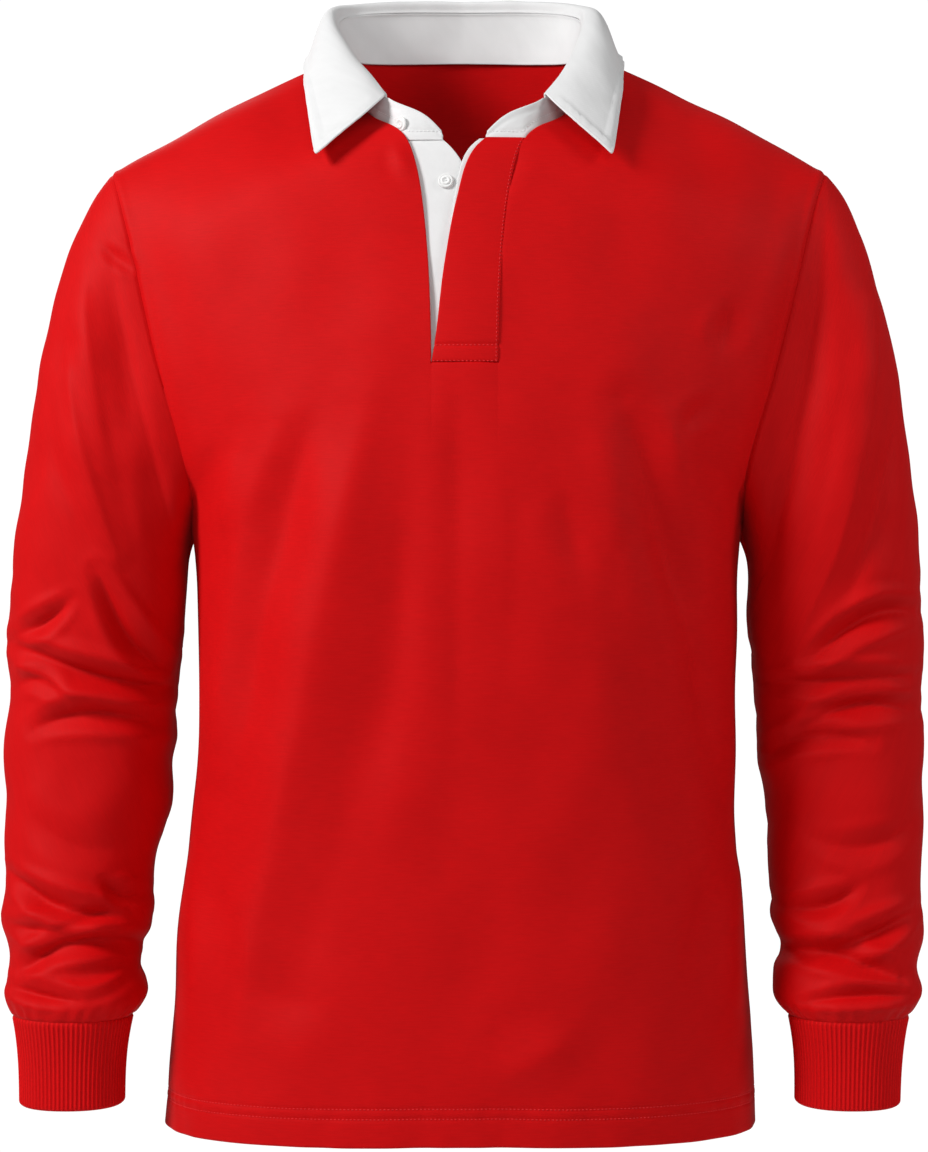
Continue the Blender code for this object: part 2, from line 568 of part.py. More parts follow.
def neck_run(front, back):
    """The +X half of the line that the band stands on: back neckline, front neckline, top of the placket."""
    down = np.full(2, NECK_CORNER)
    free = PLACKET[0].overlap
    end = placket_points(down, np.array([(1 + free) / 2, free]))
    return np.concatenate([back[0, :COLUMNS_NECK], front[:ROWS_NECK + 1, 0], end])


def run_shares(line):
    steps = np.linalg.norm(np.diff(line, axis=0), axis=1)
    return np.concatenate([[0], np.cumsum(steps)]) / steps.sum()


def both_sides(grid):
    """A half collar's grid and its mirror image, joined at the centre back, seen from the neck."""
    return np.concatenate([grid[:, ::-1], (grid * [-1, 1, 1])[:, 1:]], axis=1)


def band_skin(line):
    """The collar band. Its face is the side next to the neck, which rolls over to become the leaf's face."""
    station = read(COLLAR, run_shares(line))
    top = np.stack([station.top_x, station.top_y, station.top_z], axis=-1)
    up = np.linspace(1, 0, ROWS_BAND + 1)[:, None, None]
    grid = line[None] + (top - line)[None] * up
    return grid_skin(both_sides(grid)[:, ::-1])


def leaf_skin(line, panels):
    """The collar leaf, rolled over from the band's top edge and laid on the panels."""
    runs = run_shares(line)
    station = read(COLLAR[:LEAF_STATIONS], np.minimum(runs[:COLUMNS_NECK + ROWS_NECK], LEAF_RUN))
    top = np.stack([station.top_x, station.top_y, station.top_z], axis=-1)
    roll = np.stack([station.roll_x, station.roll_y, station.roll_z], axis=-1)
    edge = np.stack([station.edge_x, station.edge_y, station.edge_z], axis=-1)
    top, roll, edge = both_sides(np.stack([top, roll, edge]))
    t = np.linspace(0, 1, ROWS_LEAF + 1)[:, None, None]
    grid = leaning(top) * (1 - t) ** 2 + leaning(roll) * 2 * t * (1 - t) + edge * t**2
    return grid_skin(laid_on(panels, grid))


def laid_on(panels, grid):
    """The grid with its points moved out where they are nearer to the panels than the leaf can lie."""
    trees = [BVHTree.FromPolygons([Vector(p) for p in skin.points], skin.faces) for skin in panels]
    laid = grid.copy()
    for row in laid[LEAF_FREE_ROWS:]:
        for i, point in enumerate(row):
            for tree in trees:
                place, normal, _, distance = tree.find_nearest(Vector(point))
                height = (Vector(point) - place).dot(normal)
                if height < LEAF_CLEARANCE and distance < LEAF_REACH:
                    row[i] = row[i] + np.array(normal) * (LEAF_CLEARANCE - height)
    return laid


def main():
    for old in list(bpy.data.objects):
        bpy.data.objects.remove(old)
    red = cloth_material("jersey_red", (0.60, 0.010, 0.014), 0.75)
    rib = cloth_material("rib_red", (0.55, 0.008, 0.012), 0.80)
    white = cloth_material("twill_white", (0.86, 0.86, 0.85), 0.70)
    plastic = cloth_material("button_white", (0.88, 0.87, 0.84), 0.30)

    front = front_half()
    back = back_half(front)
    loop = armhole_loop(front, back)
    skins = {
        "front": front_skin(front),
        "back": back_skin(back),
        "sleeve_left": grid_skin(sleeve_grid(loop), closed=True),
        "cuff_left": grid_skin(arm_grid(SLEEVE_END, CUFF_END, ROWS_CUFF, len(loop)), closed=True),
        "placket_overlap": overlap_skin(),
        "placket_facing": facing_skin(),
        "placket_underlap": underlap_skin(),
    }
    for piece in ("sleeve", "cuff"):
        skins[piece + "_right"] = mirrored(skins[piece + "_left"])
    normals = shared_normals(skins)
    for name, skin in skins.items():
        folds = fold_heights(skin.points, normals[name])[:, None] * normals[name]
        skins[name] = Skin(leaning(skin.points + folds), skin.faces)

    behind_overlap = -(CLOTH + LAYER_GAP)
    behind_facing = behind_overlap - FACING - LAYER_GAP
    for name, skin in skins.items():
        if name.startswith("cuff"):
            wall(name, skin, normals[name], RIB, rib)
        elif name == "placket_facing":
            wall(name, skin, normals[name], FACING, white, lift=behind_overlap)
        elif name == "placket_underlap":
            wall(name, skin, normals[name], CLOTH, white, lift=behind_facing)
        else:
            wall(name, skin, normals[name], CLOTH, red)

    line = neck_run(front, back)
    band = band_skin(line)
    collar = {"collar_band": Skin(leaning(band.points), band.faces)}
    collar["collar_leaf"] = leaf_skin(line, [skins["front"], skins["back"]])
    for name, skin in collar.items():
        wall(name, skin, shared_normals(collar)[name], CLOTH, white)
    button("button_neck", "collar_band", NECK_BUTTON, plastic)
    button("button_placket", "placket_underlap", PLACKET_BUTTON, plastic)


main()
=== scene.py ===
"""How the rugby shirt looks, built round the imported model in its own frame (metres, +Z up, front facing -Y).

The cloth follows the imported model's form on a finer grid that carries creases, seams, ribs and rolled
edges. Every piece is laid out as a grid of points, rows down and columns to the left as seen from the face
of the cloth, and then given its thickness along shared normals. The grids are fitted to the model's boxes.
"""

import json
import math
from collections import namedtuple

import bpy
import numpy as np
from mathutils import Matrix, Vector
from mathutils.bvhtree import BVHTree


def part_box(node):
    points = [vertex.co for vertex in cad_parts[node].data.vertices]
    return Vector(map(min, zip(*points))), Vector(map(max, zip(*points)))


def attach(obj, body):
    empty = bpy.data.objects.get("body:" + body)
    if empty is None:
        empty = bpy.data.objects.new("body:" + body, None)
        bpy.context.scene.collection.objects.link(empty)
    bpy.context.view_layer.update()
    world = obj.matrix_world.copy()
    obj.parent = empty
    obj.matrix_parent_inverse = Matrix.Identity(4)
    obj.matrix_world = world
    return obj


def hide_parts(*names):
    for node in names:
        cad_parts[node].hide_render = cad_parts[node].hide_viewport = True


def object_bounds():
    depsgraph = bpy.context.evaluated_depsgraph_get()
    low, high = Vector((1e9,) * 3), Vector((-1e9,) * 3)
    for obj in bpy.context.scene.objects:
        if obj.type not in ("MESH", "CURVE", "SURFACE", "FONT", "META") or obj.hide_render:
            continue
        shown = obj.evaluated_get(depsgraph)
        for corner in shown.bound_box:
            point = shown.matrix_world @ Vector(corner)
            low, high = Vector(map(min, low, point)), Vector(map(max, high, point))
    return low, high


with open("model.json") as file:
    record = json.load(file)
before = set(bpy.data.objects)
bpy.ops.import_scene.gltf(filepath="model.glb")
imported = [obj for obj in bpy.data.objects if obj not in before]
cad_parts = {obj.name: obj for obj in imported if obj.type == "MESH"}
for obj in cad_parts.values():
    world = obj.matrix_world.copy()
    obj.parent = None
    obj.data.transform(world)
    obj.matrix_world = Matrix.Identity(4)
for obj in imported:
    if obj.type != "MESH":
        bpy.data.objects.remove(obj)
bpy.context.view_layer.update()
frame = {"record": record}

# Driving dimensions, in metres
STEP = 0.0034           # how far apart the points of the cloth are
SLEEVE_STEP = 0.0026    # the same down the sleeves, whose creases run round the arm
JERSEY = 0.0013         # thickness of the red jersey
HEM_THICK = 0.0026      # the hem, which is turned up
TWILL = 0.0016          # collar and placket, two layers of white twill
RIB = 0.0026            # the cuffs, two layers of rib
RIB_PITCH = 0.0028      # from one rib of the cuff to the next
RIB_HEIGHT = 0.0008
HEM_TURN = 0.0185       # from the hem's edge up to its stitches
NEEDLES = 0.0064        # between the hem's two rows of stitches
STITCH = 0.0014         # length of a stitch
STITCH_GAP = 0.0012     # between one stitch and the next
THREAD = 0.00030        # radius of a stitch
NECK_CORNER = 0.13      # where the neckline meets the placket, down the front panel
PLACKET_FOOT = 0.26     # where the placket ends, down the front panel
FOOT_BOX = 0.011        # height of the stitched box at the placket's foot
UNDERARM = 0.305        # where the armhole closes, down the front and back panels
HEM = 0.69              # the hem, down the front and back panels
SLEEVE_END = 0.585      # where the sleeve meets its cuff, down the arm
CUFF_END = 0.645        # the end of the cuff, down the arm
SLEEVE_BLEND = 0.14     # how far down the arm the armhole's shape fades out
NECK_SHARE = 0.307      # the back neckline's share of the half back's width
SAG = 1.05              # how the levels sag between the middle and the side, 1 being straight
SPREAD_FIRST = 0.001    # how widely the back's top row is evened out at the shoulder seam
SPREAD_MORE = 1.6       # how much more widely with each metre down
HALF_PLACKET = 0.0205   # half the width between the front's two edges
ROUNDNESS = 0.92        # 1 gives elliptical sections, less gives squarer ones
PLACKET_BULGE = 0.002   # how far the middle of the placket stands forward of its edges
BULGE_FADE = 0.05       # how far below the placket's foot the bulge is gone
BEHIND = 0.0028         # how far the underlap lies behind the overlap
UNDERLAP = 0.0012       # thickness of the underlap
UNDERLAP_REACH = 1.25   # how far the underlap reaches under the front, as a share of the half placket
UNDERLAP_TUCK = 0.0040  # how far the underlap reaches below the placket's foot
FACING_PEEK = 0.0045    # how far the overlap's white facing shows beside its red edge, at the top
FACING_FADE = 0.075     # how far down the peek fades out
FACING_INSET = 0.0006   # how far the facing lies inside the red edge below that
FACING_SEAM = 0.97      # where the facing ends beside the front, as a share of the half placket
FACING_SHORT = 14       # how many rows before the placket's foot the facing ends
FACING = 0.0008         # thickness of the facing
FOLD_SHIFT = 0.0048     # how far the sides of the collar's fold stand towards the wearer's right
COLLAR_FALL = 0.0065    # from the collar's fold down to its seam with the band, on the neck side
COLLAR_STITCH = 0.0052  # from the leaf's edges in to its topstitch
LEAF_CLEARANCE = 0.0030
TIP_RADIUS = 0.0035     # how round the leaf's tips are
TIP_ALONG = 0.40        # length that the leaf's run stands for at its tips
TIP_DOWN = 0.108        # length that the leaf's height stands for at its tips
BAND_STITCH = 0.0060    # from the band's foot up to its stitches
LAP_STITCH = 0.0014     # from the overlap's outer edge in to its stitches
FOOT_STITCH = 0.0006    # from the placket's foot up to its lower stitches
BODY_SCALE = 2.2        # on the heights of the body's creases below
SEAM_DIP = 0.0007       # depth of the hollow along a seam
DIP_WIDTH = 0.0013
WELT = 0.0006           # height of the rise over a seam's turnings
WELT_AWAY = 0.0036      # and how far from the seam it is highest
WELT_WIDTH = 0.0022
HEM_DIP = 0.0005        # depth of the hollow along a row of the hem's stitches
COLLAR_DIP = 0.0006     # depth of the hollow along the band's stitches
COLLAR_SHORT = 0.0008   # the least that the leaf's seam lies below its fold
TUCK_IN = 0.0016        # how far the band's foot is turned in behind the red cloth
TUCK_DOWN = 0.0015
SLEEVE_SCALE = 2.3      # on the heights of the sleeves' creases below
BODY_CRISP = 0.25       # how sharp the body's creases are, from 0, round, to 1, edged
SLEEVE_CRISP = 0.85
SLEEVE_NARROW = 0.78    # on the widths of the sleeves' creases below

# One row for each level of the front panel's +X half, from the shoulder seam down. "outer" is on the armhole
# and side seam, "inner" on the neckline and then beside the placket. "turn" is how far round the side the
# level reaches, in degrees, and "swell" how far its middle stands forward.
Level = namedtuple("Level", "down outer_x outer_y outer_z inner_x inner_y inner_z turn swell")
FRONT = [
    Level(0.000, 0.2415, 0.004, -0.0780, 0.0800, 0.005, 0.0040, 20, 0.000),
    Level(0.022, 0.2385, -0.018, -0.0820, 0.0785, -0.012, -0.0100, 30, 0.003),
    Level(0.045, 0.2330, -0.035, -0.0950, 0.0735, -0.030, -0.0265, 40, 0.006),
    Level(0.090, 0.2205, -0.053, -0.1370, 0.0580, -0.066, -0.0510, 52, 0.009),
    Level(NECK_CORNER, 0.2110, -0.059, -0.1780, 0.0375, -0.088, -0.0672, 60, 0.007),
    Level(0.170, 0.2015, -0.061, -0.2160, 0.0266, -0.101, -0.1090, 66, 0.004),
    Level(0.215, 0.1895, -0.057, -0.2580, 0.0219, -0.115, -0.1620, 74, 0.001),
    Level(PLACKET_FOOT, 0.1825, -0.038, -0.2980, 0.0205, -0.124, -0.2165, 83, 0.000),
    Level(UNDERARM, 0.1850, 0.004, -0.3280, 0.0205, -0.128, -0.2850, 90, 0.000),
    Level(0.330, 0.1822, 0.004, -0.3530, 0.0205, -0.129, -0.3180, 90, 0.000),
    Level(0.390, 0.1820, 0.004, -0.4180, 0.0205, -0.129, -0.3930, 90, 0.000),
    Level(0.460, 0.1850, 0.004, -0.5000, 0.0205, -0.126, -0.4830, 90, 0.000),
    Level(0.580, 0.1940, 0.004, -0.6200, 0.0205, -0.124, -0.6080, 90, 0.000),
    Level(HEM, 0.2015, 0.004, -0.7265, 0.0205, -0.125, -0.7190, 90, 0.000),
]
BACK = [
    Level(0.000, 0.2415, 0.004, -0.0780, 0.0, 0.075, 0.0130, 40, 0.000),
    Level(0.022, 0.2395, 0.024, -0.0815, 0.0, 0.083, -0.0070, 45, 0.000),
    Level(0.045, 0.2345, 0.039, -0.0945, 0.0, 0.091, -0.0280, 50, 0.000),
    Level(0.090, 0.2235, 0.055, -0.1370, 0.0, 0.102, -0.0680, 56, 0.000),
    Level(NECK_CORNER, 0.2145, 0.060, -0.1770, 0.0, 0.110, -0.1080, 62, 0.000),
    Level(0.170, 0.2045, 0.062, -0.2150, 0.0, 0.115, -0.1500, 66, 0.000),
    Level(0.215, 0.1920, 0.058, -0.2570, 0.0, 0.117, -0.1980, 74, 0.000),
    Level(PLACKET_FOOT, 0.1840, 0.041, -0.2975, 0.0, 0.116, -0.2460, 83, 0.000),
    Level(UNDERARM, 0.1850, 0.004, -0.3280, 0.0, 0.113, -0.2950, 90, 0.000),
    Level(0.330, 0.1822, 0.004, -0.3530, 0.0, 0.110, -0.3240, 90, 0.000),
    Level(0.390, 0.1820, 0.004, -0.4180, 0.0, 0.104, -0.3950, 90, 0.000),
    Level(0.460, 0.1850, 0.004, -0.5000, 0.0, 0.100, -0.4830, 90, 0.000),
    Level(0.580, 0.1940, 0.004, -0.6200, 0.0, 0.105, -0.6080, 90, 0.000),
    Level(HEM, 0.2015, 0.004, -0.7265, 0.0, 0.116, -0.7210, 90, 0.000),
]

# One row for each ring of the +X sleeve and cuff, from the armhole down the arm. "outer" is the side away
# from the body and "inner" the side next to it.
Ring = namedtuple("Ring", "down outer_x outer_z inner_x inner_z middle_y front back")
SLEEVE = [
    Ring(0.000, 0.2415, -0.0780, 0.1850, -0.3280, 0.004, 0.064, 0.062),
    Ring(0.018, 0.2528, -0.0930, 0.1872, -0.3365, 0.0035, 0.065, 0.063),
    Ring(0.040, 0.2625, -0.1150, 0.1885, -0.3430, 0.003, 0.066, 0.064),
    Ring(0.090, 0.2790, -0.1660, 0.1900, -0.3560, 0.002, 0.066, 0.063),
    Ring(0.150, 0.2915, -0.2320, 0.1908, -0.3740, 0.002, 0.064, 0.062),
    Ring(0.210, 0.3015, -0.2980, 0.1925, -0.3960, 0.003, 0.061, 0.060),
    Ring(0.270, 0.3095, -0.3600, 0.1955, -0.4220, 0.005, 0.059, 0.058),
    Ring(0.330, 0.3125, -0.4180, 0.1985, -0.4530, 0.008, 0.057, 0.057),
    Ring(0.390, 0.3135, -0.4800, 0.2030, -0.4920, 0.006, 0.055, 0.055),
    Ring(0.450, 0.3125, -0.5370, 0.2085, -0.5400, 0.000, 0.053, 0.052),
    Ring(0.510, 0.3110, -0.5900, 0.2130, -0.5920, -0.012, 0.050, 0.050),
    Ring(0.555, 0.3095, -0.6280, 0.2145, -0.6290, -0.022, 0.048, 0.048),
    Ring(SLEEVE_END, 0.3020, -0.6480, 0.2185, -0.6490, -0.029, 0.041, 0.039),
    Ring(0.603, 0.2985, -0.6660, 0.2215, -0.6660, -0.031, 0.037, 0.036),
    Ring(CUFF_END, 0.2955, -0.7070, 0.2230, -0.7070, -0.035, 0.035, 0.033),
]

# The collar's +X half, from the centre back to the front end of the band. "run" is the share of the way along
# the neckline. "top" is where the band ends and the leaf rolls over, "roll" steers the roll and "edge" is the
# leaf's outer edge, up to the leaf's front end at LEAF_RUN, which is the last of the LEAF_STATIONS.
Station = namedtuple("Station", "run top_x top_y top_z roll_x roll_y roll_z edge_x edge_y edge_z")
LEAF_RUN = 0.79
LEAF_STATIONS = 6
COLLAR = [
    Station(0.00, 0.0000, 0.0680, 0.0530, 0.0000, 0.0840, 0.0620, 0.0000, 0.0890, 0.0030),
    Station(0.16, 0.0450, 0.0600, 0.0512, 0.0480, 0.0760, 0.0612, 0.0530, 0.0840, 0.0010),
    Station(0.30, 0.0770, 0.0420, 0.0445, 0.0865, 0.0520, 0.0562, 0.0935, 0.0560, -0.0030),
    Station(0.44, 0.0845, 0.0100, 0.0300, 0.0950, 0.0100, 0.0445, 0.1068, 0.0080, -0.0070),
    Station(0.60, 0.0735, -0.0240, 0.0000, 0.0840, -0.0280, 0.0115, 0.1055, -0.0400, -0.0300),
    Station(LEAF_RUN, 0.0515, -0.0660, -0.0360, 0.0545, -0.0880, -0.0440, 0.0965, -0.0980, -0.0810),
    Station(0.90, 0.0370, -0.0800, -0.0455, 0, 0, 0, 0, 0, 0),
    Station(0.96, 0.0230, -0.0850, -0.0535, 0, 0, 0, 0, 0, 0),
    Station(1.00, 0.0140, -0.0860, -0.0625, 0, 0, 0, 0, 0, 0),
]

# The placket's free edges down the front, as shares of the half width between the front's two edges
Opening = namedtuple("Opening", "down overlap underlap")
PLACKET = [
    Opening(NECK_CORNER, 0.36, -0.36),
    Opening(0.140, 0.18, -0.18),
    Opening(0.151, 0.03, 0.03),
    Opening(0.166, -0.13, 0.28),
    Opening(0.180, -0.29, 0.46),
    Opening(0.197, -0.46, 0.62),
    Opening(0.213, -0.61, 0.71),
    Opening(0.231, -0.74, 0.77),
    Opening(0.249, -0.88, 0.78),
    Opening(PLACKET_FOOT, -1.00, 0.78),
]

# The shirt doesn't hang quite evenly: how far its -X side ("right") and +X side ("left") are moved in x
Lean = namedtuple("Lean", "up right left")
LEAN_WIDTH = 0.08       # the shift is full from this far out
LEANS = [
    Lean(-0.740, -0.004, -0.002),
    Lean(-0.650, -0.003, -0.001),
    Lean(-0.550, -0.001, 0.000),
    Lean(-0.450, 0.001, 0.002),
    Lean(-0.400, 0.000, 0.004),
    Lean(-0.300, 0.000, 0.005),
    Lean(-0.150, -0.001, 0.007),
    Lean(-0.080, 0.000, 0.006),
    Lean(0.070, 0.000, 0.004),
]

# Creases, each a curve through three places seen from the front (side -1) or the back (side 1). Height is
# positive for a ridge and negative for a trough.
Fold = namedtuple("Fold", "side start_x start_z middle_x middle_z end_x end_z half_width height")
BODY_FOLDS = [
    Fold(-1, -0.147, -0.271, -0.153, -0.299, -0.158, -0.328, 0.014, 0.0014),
    Fold(-1, -0.120, -0.250, -0.146, -0.350, -0.166, -0.480, 0.018, 0.0016),
    Fold(-1, -0.100, -0.262, -0.126, -0.350, -0.154, -0.500, 0.014, -0.0014),
    Fold(-1, -0.058, -0.240, -0.096, -0.400, -0.148, -0.660, 0.025, 0.0042),
    Fold(-1, -0.028, -0.270, -0.042, -0.400, -0.074, -0.600, 0.022, -0.0010),
    Fold(-1, -0.006, -0.222, -0.004, -0.343, -0.006, -0.464, 0.014, -0.0012),
    Fold(-1, 0.096, -0.240, 0.140, -0.370, 0.182, -0.540, 0.017, -0.0034),
    Fold(-1, 0.100, -0.340, 0.128, -0.450, 0.168, -0.600, 0.020, -0.0016),
    Fold(-1, 0.060, -0.298, 0.066, -0.326, 0.071, -0.354, 0.012, -0.0014),
    Fold(-1, 0.169, -0.178, 0.166, -0.192, 0.163, -0.207, 0.009, -0.0012),
    Fold(-1, 0.138, -0.258, 0.146, -0.248, 0.155, -0.239, 0.007, -0.0010),
    Fold(-1, 0.126, -0.250, 0.140, -0.310, 0.158, -0.380, 0.013, 0.0012),
    Fold(-1, 0.024, -0.676, 0.047, -0.662, 0.071, -0.647, 0.016, 0.0014),
    Fold(-1, -0.044, -0.073, -0.040, -0.084, -0.034, -0.095, 0.006, 0.0010),
    Fold(-1, 0.036, -0.076, 0.026, -0.092, 0.017, -0.114, 0.008, -0.0007),
    Fold(-1, -0.182, -0.560, -0.176, -0.610, -0.180, -0.660, 0.016, 0.0020),
    Fold(-1, -0.150, -0.610, -0.120, -0.625, -0.080, -0.630, 0.018, -0.0010),
    Fold(-1, 0.182, -0.560, 0.178, -0.600, 0.184, -0.650, 0.015, 0.0020),
    Fold(1, -0.160, -0.260, -0.120, -0.330, -0.060, -0.420, 0.024, -0.0045),
    Fold(1, 0.160, -0.270, 0.115, -0.350, 0.040, -0.450, 0.026, -0.0045),
    Fold(1, -0.150, -0.330, -0.110, -0.430, -0.070, -0.560, 0.024, -0.0040),
    Fold(1, 0.155, -0.350, 0.118, -0.460, 0.085, -0.600, 0.022, -0.0040),
    Fold(1, -0.030, -0.430, -0.010, -0.520, 0.010, -0.620, 0.026, -0.0030),
    Fold(1, -0.150, -0.180, -0.120, -0.215, -0.080, -0.240, 0.018, -0.0022),
    Fold(1, 0.155, -0.170, 0.120, -0.205, 0.070, -0.225, 0.018, -0.0022),
    Fold(1, 0.000, -0.080, 0.004, -0.140, -0.002, -0.200, 0.016, -0.0016),
    Fold(1, -0.070, -0.480, -0.060, -0.560, -0.064, -0.660, 0.020, 0.0026),
    Fold(1, 0.052, -0.500, 0.060, -0.590, 0.054, -0.670, 0.018, 0.0026),
]
SLEEVE_FOLDS = [
    Fold(-1, -0.252, -0.154, -0.246, -0.214, -0.236, -0.280, 0.015, 0.0016),
    Fold(-1, -0.238, -0.130, -0.216, -0.233, -0.189, -0.338, 0.020, -0.0022),
    Fold(-1, -0.243, -0.132, -0.230, -0.141, -0.216, -0.151, 0.006, -0.0014),
    Fold(-1, -0.262, -0.210, -0.252, -0.270, -0.230, -0.340, 0.014, 0.0022),
    Fold(-1, -0.302, -0.392, -0.282, -0.384, -0.262, -0.369, 0.008, -0.0030),
    Fold(-1, -0.308, -0.398, -0.248, -0.420, -0.193, -0.430, 0.010, -0.0048),
    Fold(-1, -0.243, -0.350, -0.222, -0.394, -0.195, -0.420, 0.010, -0.0040),
    Fold(-1, -0.304, -0.428, -0.285, -0.423, -0.266, -0.436, 0.008, -0.0024),
    Fold(-1, -0.290, -0.456, -0.248, -0.445, -0.197, -0.457, 0.010, -0.0036),
    Fold(-1, -0.290, -0.510, -0.265, -0.530, -0.230, -0.536, 0.012, -0.0010),
    Fold(-1, -0.303, -0.553, -0.268, -0.572, -0.222, -0.578, 0.009, -0.0044),
    Fold(-1, -0.304, -0.586, -0.272, -0.588, -0.238, -0.576, 0.008, -0.0032),
    Fold(-1, -0.295, -0.617, -0.258, -0.597, -0.212, -0.602, 0.009, -0.0048),
    Fold(-1, -0.303, -0.626, -0.278, -0.629, -0.252, -0.634, 0.007, -0.0030),
    Fold(-1, -0.262, -0.621, -0.243, -0.625, -0.222, -0.616, 0.006, 0.0016),
    Fold(-1, -0.238, -0.556, -0.226, -0.566, -0.210, -0.570, 0.007, -0.0026),
    Fold(-1, 0.268, -0.170, 0.252, -0.300, 0.214, -0.400, 0.014, 0.0016),
    Fold(-1, 0.236, -0.110, 0.222, -0.220, 0.196, -0.350, 0.026, -0.0042),
    Fold(-1, 0.284, -0.230, 0.274, -0.300, 0.246, -0.380, 0.014, -0.0012),
    Fold(-1, 0.306, -0.378, 0.266, -0.382, 0.227, -0.411, 0.010, -0.0048),
    Fold(-1, 0.201, -0.426, 0.250, -0.423, 0.305, -0.420, 0.009, -0.0034),
    Fold(-1, 0.308, -0.446, 0.263, -0.440, 0.224, -0.456, 0.010, -0.0040),
    Fold(-1, 0.201, -0.476, 0.233, -0.460, 0.270, -0.464, 0.009, -0.0030),
    Fold(-1, 0.300, -0.520, 0.270, -0.534, 0.235, -0.530, 0.010, -0.0018),
    Fold(-1, 0.240, -0.600, 0.272, -0.591, 0.303, -0.577, 0.009, -0.0044),
    Fold(-1, 0.214, -0.606, 0.248, -0.604, 0.292, -0.620, 0.009, -0.0044),
    Fold(-1, 0.216, -0.575, 0.240, -0.572, 0.262, -0.560, 0.008, -0.0034),
    Fold(-1, 0.300, -0.632, 0.262, -0.630, 0.226, -0.636, 0.006, -0.0028),
    Fold(1, -0.312, -0.350, -0.262, -0.372, -0.200, -0.400, 0.012, -0.0050),
    Fold(1, 0.312, -0.360, 0.262, -0.380, 0.200, -0.405, 0.012, -0.0050),
    Fold(1, -0.310, -0.425, -0.262, -0.430, -0.200, -0.445, 0.010, -0.0040),
    Fold(1, 0.310, -0.430, 0.262, -0.424, 0.200, -0.450, 0.010, -0.0040),
    Fold(1, -0.312, -0.500, -0.262, -0.520, -0.210, -0.520, 0.012, -0.0034),
    Fold(1, 0.312, -0.490, 0.262, -0.515, 0.210, -0.525, 0.012, -0.0034),
    Fold(1, -0.306, -0.580, -0.262, -0.570, -0.212, -0.585, 0.010, -0.0040),
    Fold(1, 0.306, -0.575, 0.262, -0.585, 0.212, -0.575, 0.010, -0.0040),
    Fold(1, -0.300, -0.622, -0.262, -0.610, -0.216, -0.618, 0.008, -0.0036),
    Fold(1, 0.300, -0.615, 0.262, -0.622, 0.216, -0.612, 0.008, -0.0036),
    Fold(1, -0.240, -0.130, -0.215, -0.230, -0.192, -0.310, 0.016, -0.0050),
    Fold(1, 0.240, -0.130, 0.215, -0.230, 0.192, -0.310, 0.016, -0.0050),
]
COLLAR_FOLDS = [
    Fold(-1, -0.078, 0.012, -0.066, 0.030, -0.048, 0.043, 0.006, 0.0032),
    Fold(-1, -0.066, 0.006, -0.050, 0.022, -0.038, 0.044, 0.005, -0.0036),
    Fold(-1, -0.044, 0.008, -0.030, 0.022, -0.014, 0.030, 0.006, 0.0026),
    Fold(-1, 0.020, 0.012, 0.040, 0.020, 0.062, 0.018, 0.008, -0.0010),
]

# How much wider (+) or narrower (-) the sleeves are where they bunch up, down the arm
Bunch = namedtuple("Bunch", "down outer_right inner_right outer_left inner_left")
BUNCHES = [
    Bunch(0.000, 0.0000, 0.0000, 0.0000, 0.0000),
    Bunch(0.110, 0.0000, 0.0000, 0.0000, 0.0000),
    Bunch(0.220, 0.0000, 0.0000, 0.0000, 0.0000),
    Bunch(0.290, 0.0000, 0.0000, 0.0000, 0.0000),
    Bunch(0.330, 0.0000, 0.0000, 0.0000, 0.0000),
    Bunch(0.350, -0.0012, 0.0010, -0.0014, -0.0006),
    Bunch(0.372, 0.0012, -0.0016, 0.0008, 0.0006),
    Bunch(0.400, -0.0006, 0.0008, 0.0004, -0.0012),
    Bunch(0.450, 0.0000, 0.0000, 0.0000, 0.0000),
    Bunch(0.488, -0.0008, 0.0008, -0.0010, 0.0000),
    Bunch(0.505, 0.0010, 0.0010, 0.0006, 0.0012),
    Bunch(0.522, -0.0036, -0.0045, 0.0000, -0.0036),
    Bunch(0.540, -0.0060, -0.0030, -0.0034, 0.0020),
    Bunch(0.557, -0.0022, 0.0042, 0.0012, 0.0044),
    Bunch(0.570, 0.0002, 0.0046, 0.0018, 0.0046),
    Bunch(SLEEVE_END, -0.0018, -0.0018, -0.0018, -0.0018),
]

# The buttons' outline as shares of their radius and of their thickness, from the rim to the middle
Turned = namedtuple("Turned", "out high")
BUTTON_PROFILE = [
    Turned(0.00, 0.00),
    Turned(0.80, 0.00),
    Turned(0.94, 0.12),
    Turned(1.00, 0.36),
    Turned(0.97, 0.60),
    Turned(0.88, 0.74),
    Turned(0.78, 0.72),
    Turned(0.70, 0.60),
    Turned(0.62, 0.66),
    Turned(0.54, 0.92),
    Turned(0.46, 1.00),
    Turned(0.38, 0.92),
    Turned(0.30, 0.66),
    Turned(0.00, 0.60),
]
BUTTON_SIDES = 64


# ---------------------------------------------------------------- curves and sections

def spline(knots, values, at):
    """The natural cubic spline through (knots, values), read at the positions "at"."""
    knots = np.asarray(knots, float)
    values = np.asarray(values, float)
    at = np.asarray(at, float)
    step = np.diff(knots)
    count = len(knots)
    matrix = np.eye(count)
    right = np.zeros(count)
    for i in range(1, count - 1):
        matrix[i, i - 1:i + 2] = step[i - 1], 2 * (step[i - 1] + step[i]), step[i]
        right[i] = 6 * ((values[i + 1] - values[i]) / step[i] - (values[i] - values[i - 1]) / step[i - 1])
    bend = np.linalg.solve(matrix, right)
    i = np.clip(np.searchsorted(knots, at, side="right") - 1, 0, count - 2)
    a = (knots[i + 1] - at) / step[i]
    b = 1 - a
    curve = ((a**3 - a) * bend[i] + (b**3 - b) * bend[i + 1]) * step[i] ** 2 / 6
    return a * values[i] + b * values[i + 1] + curve


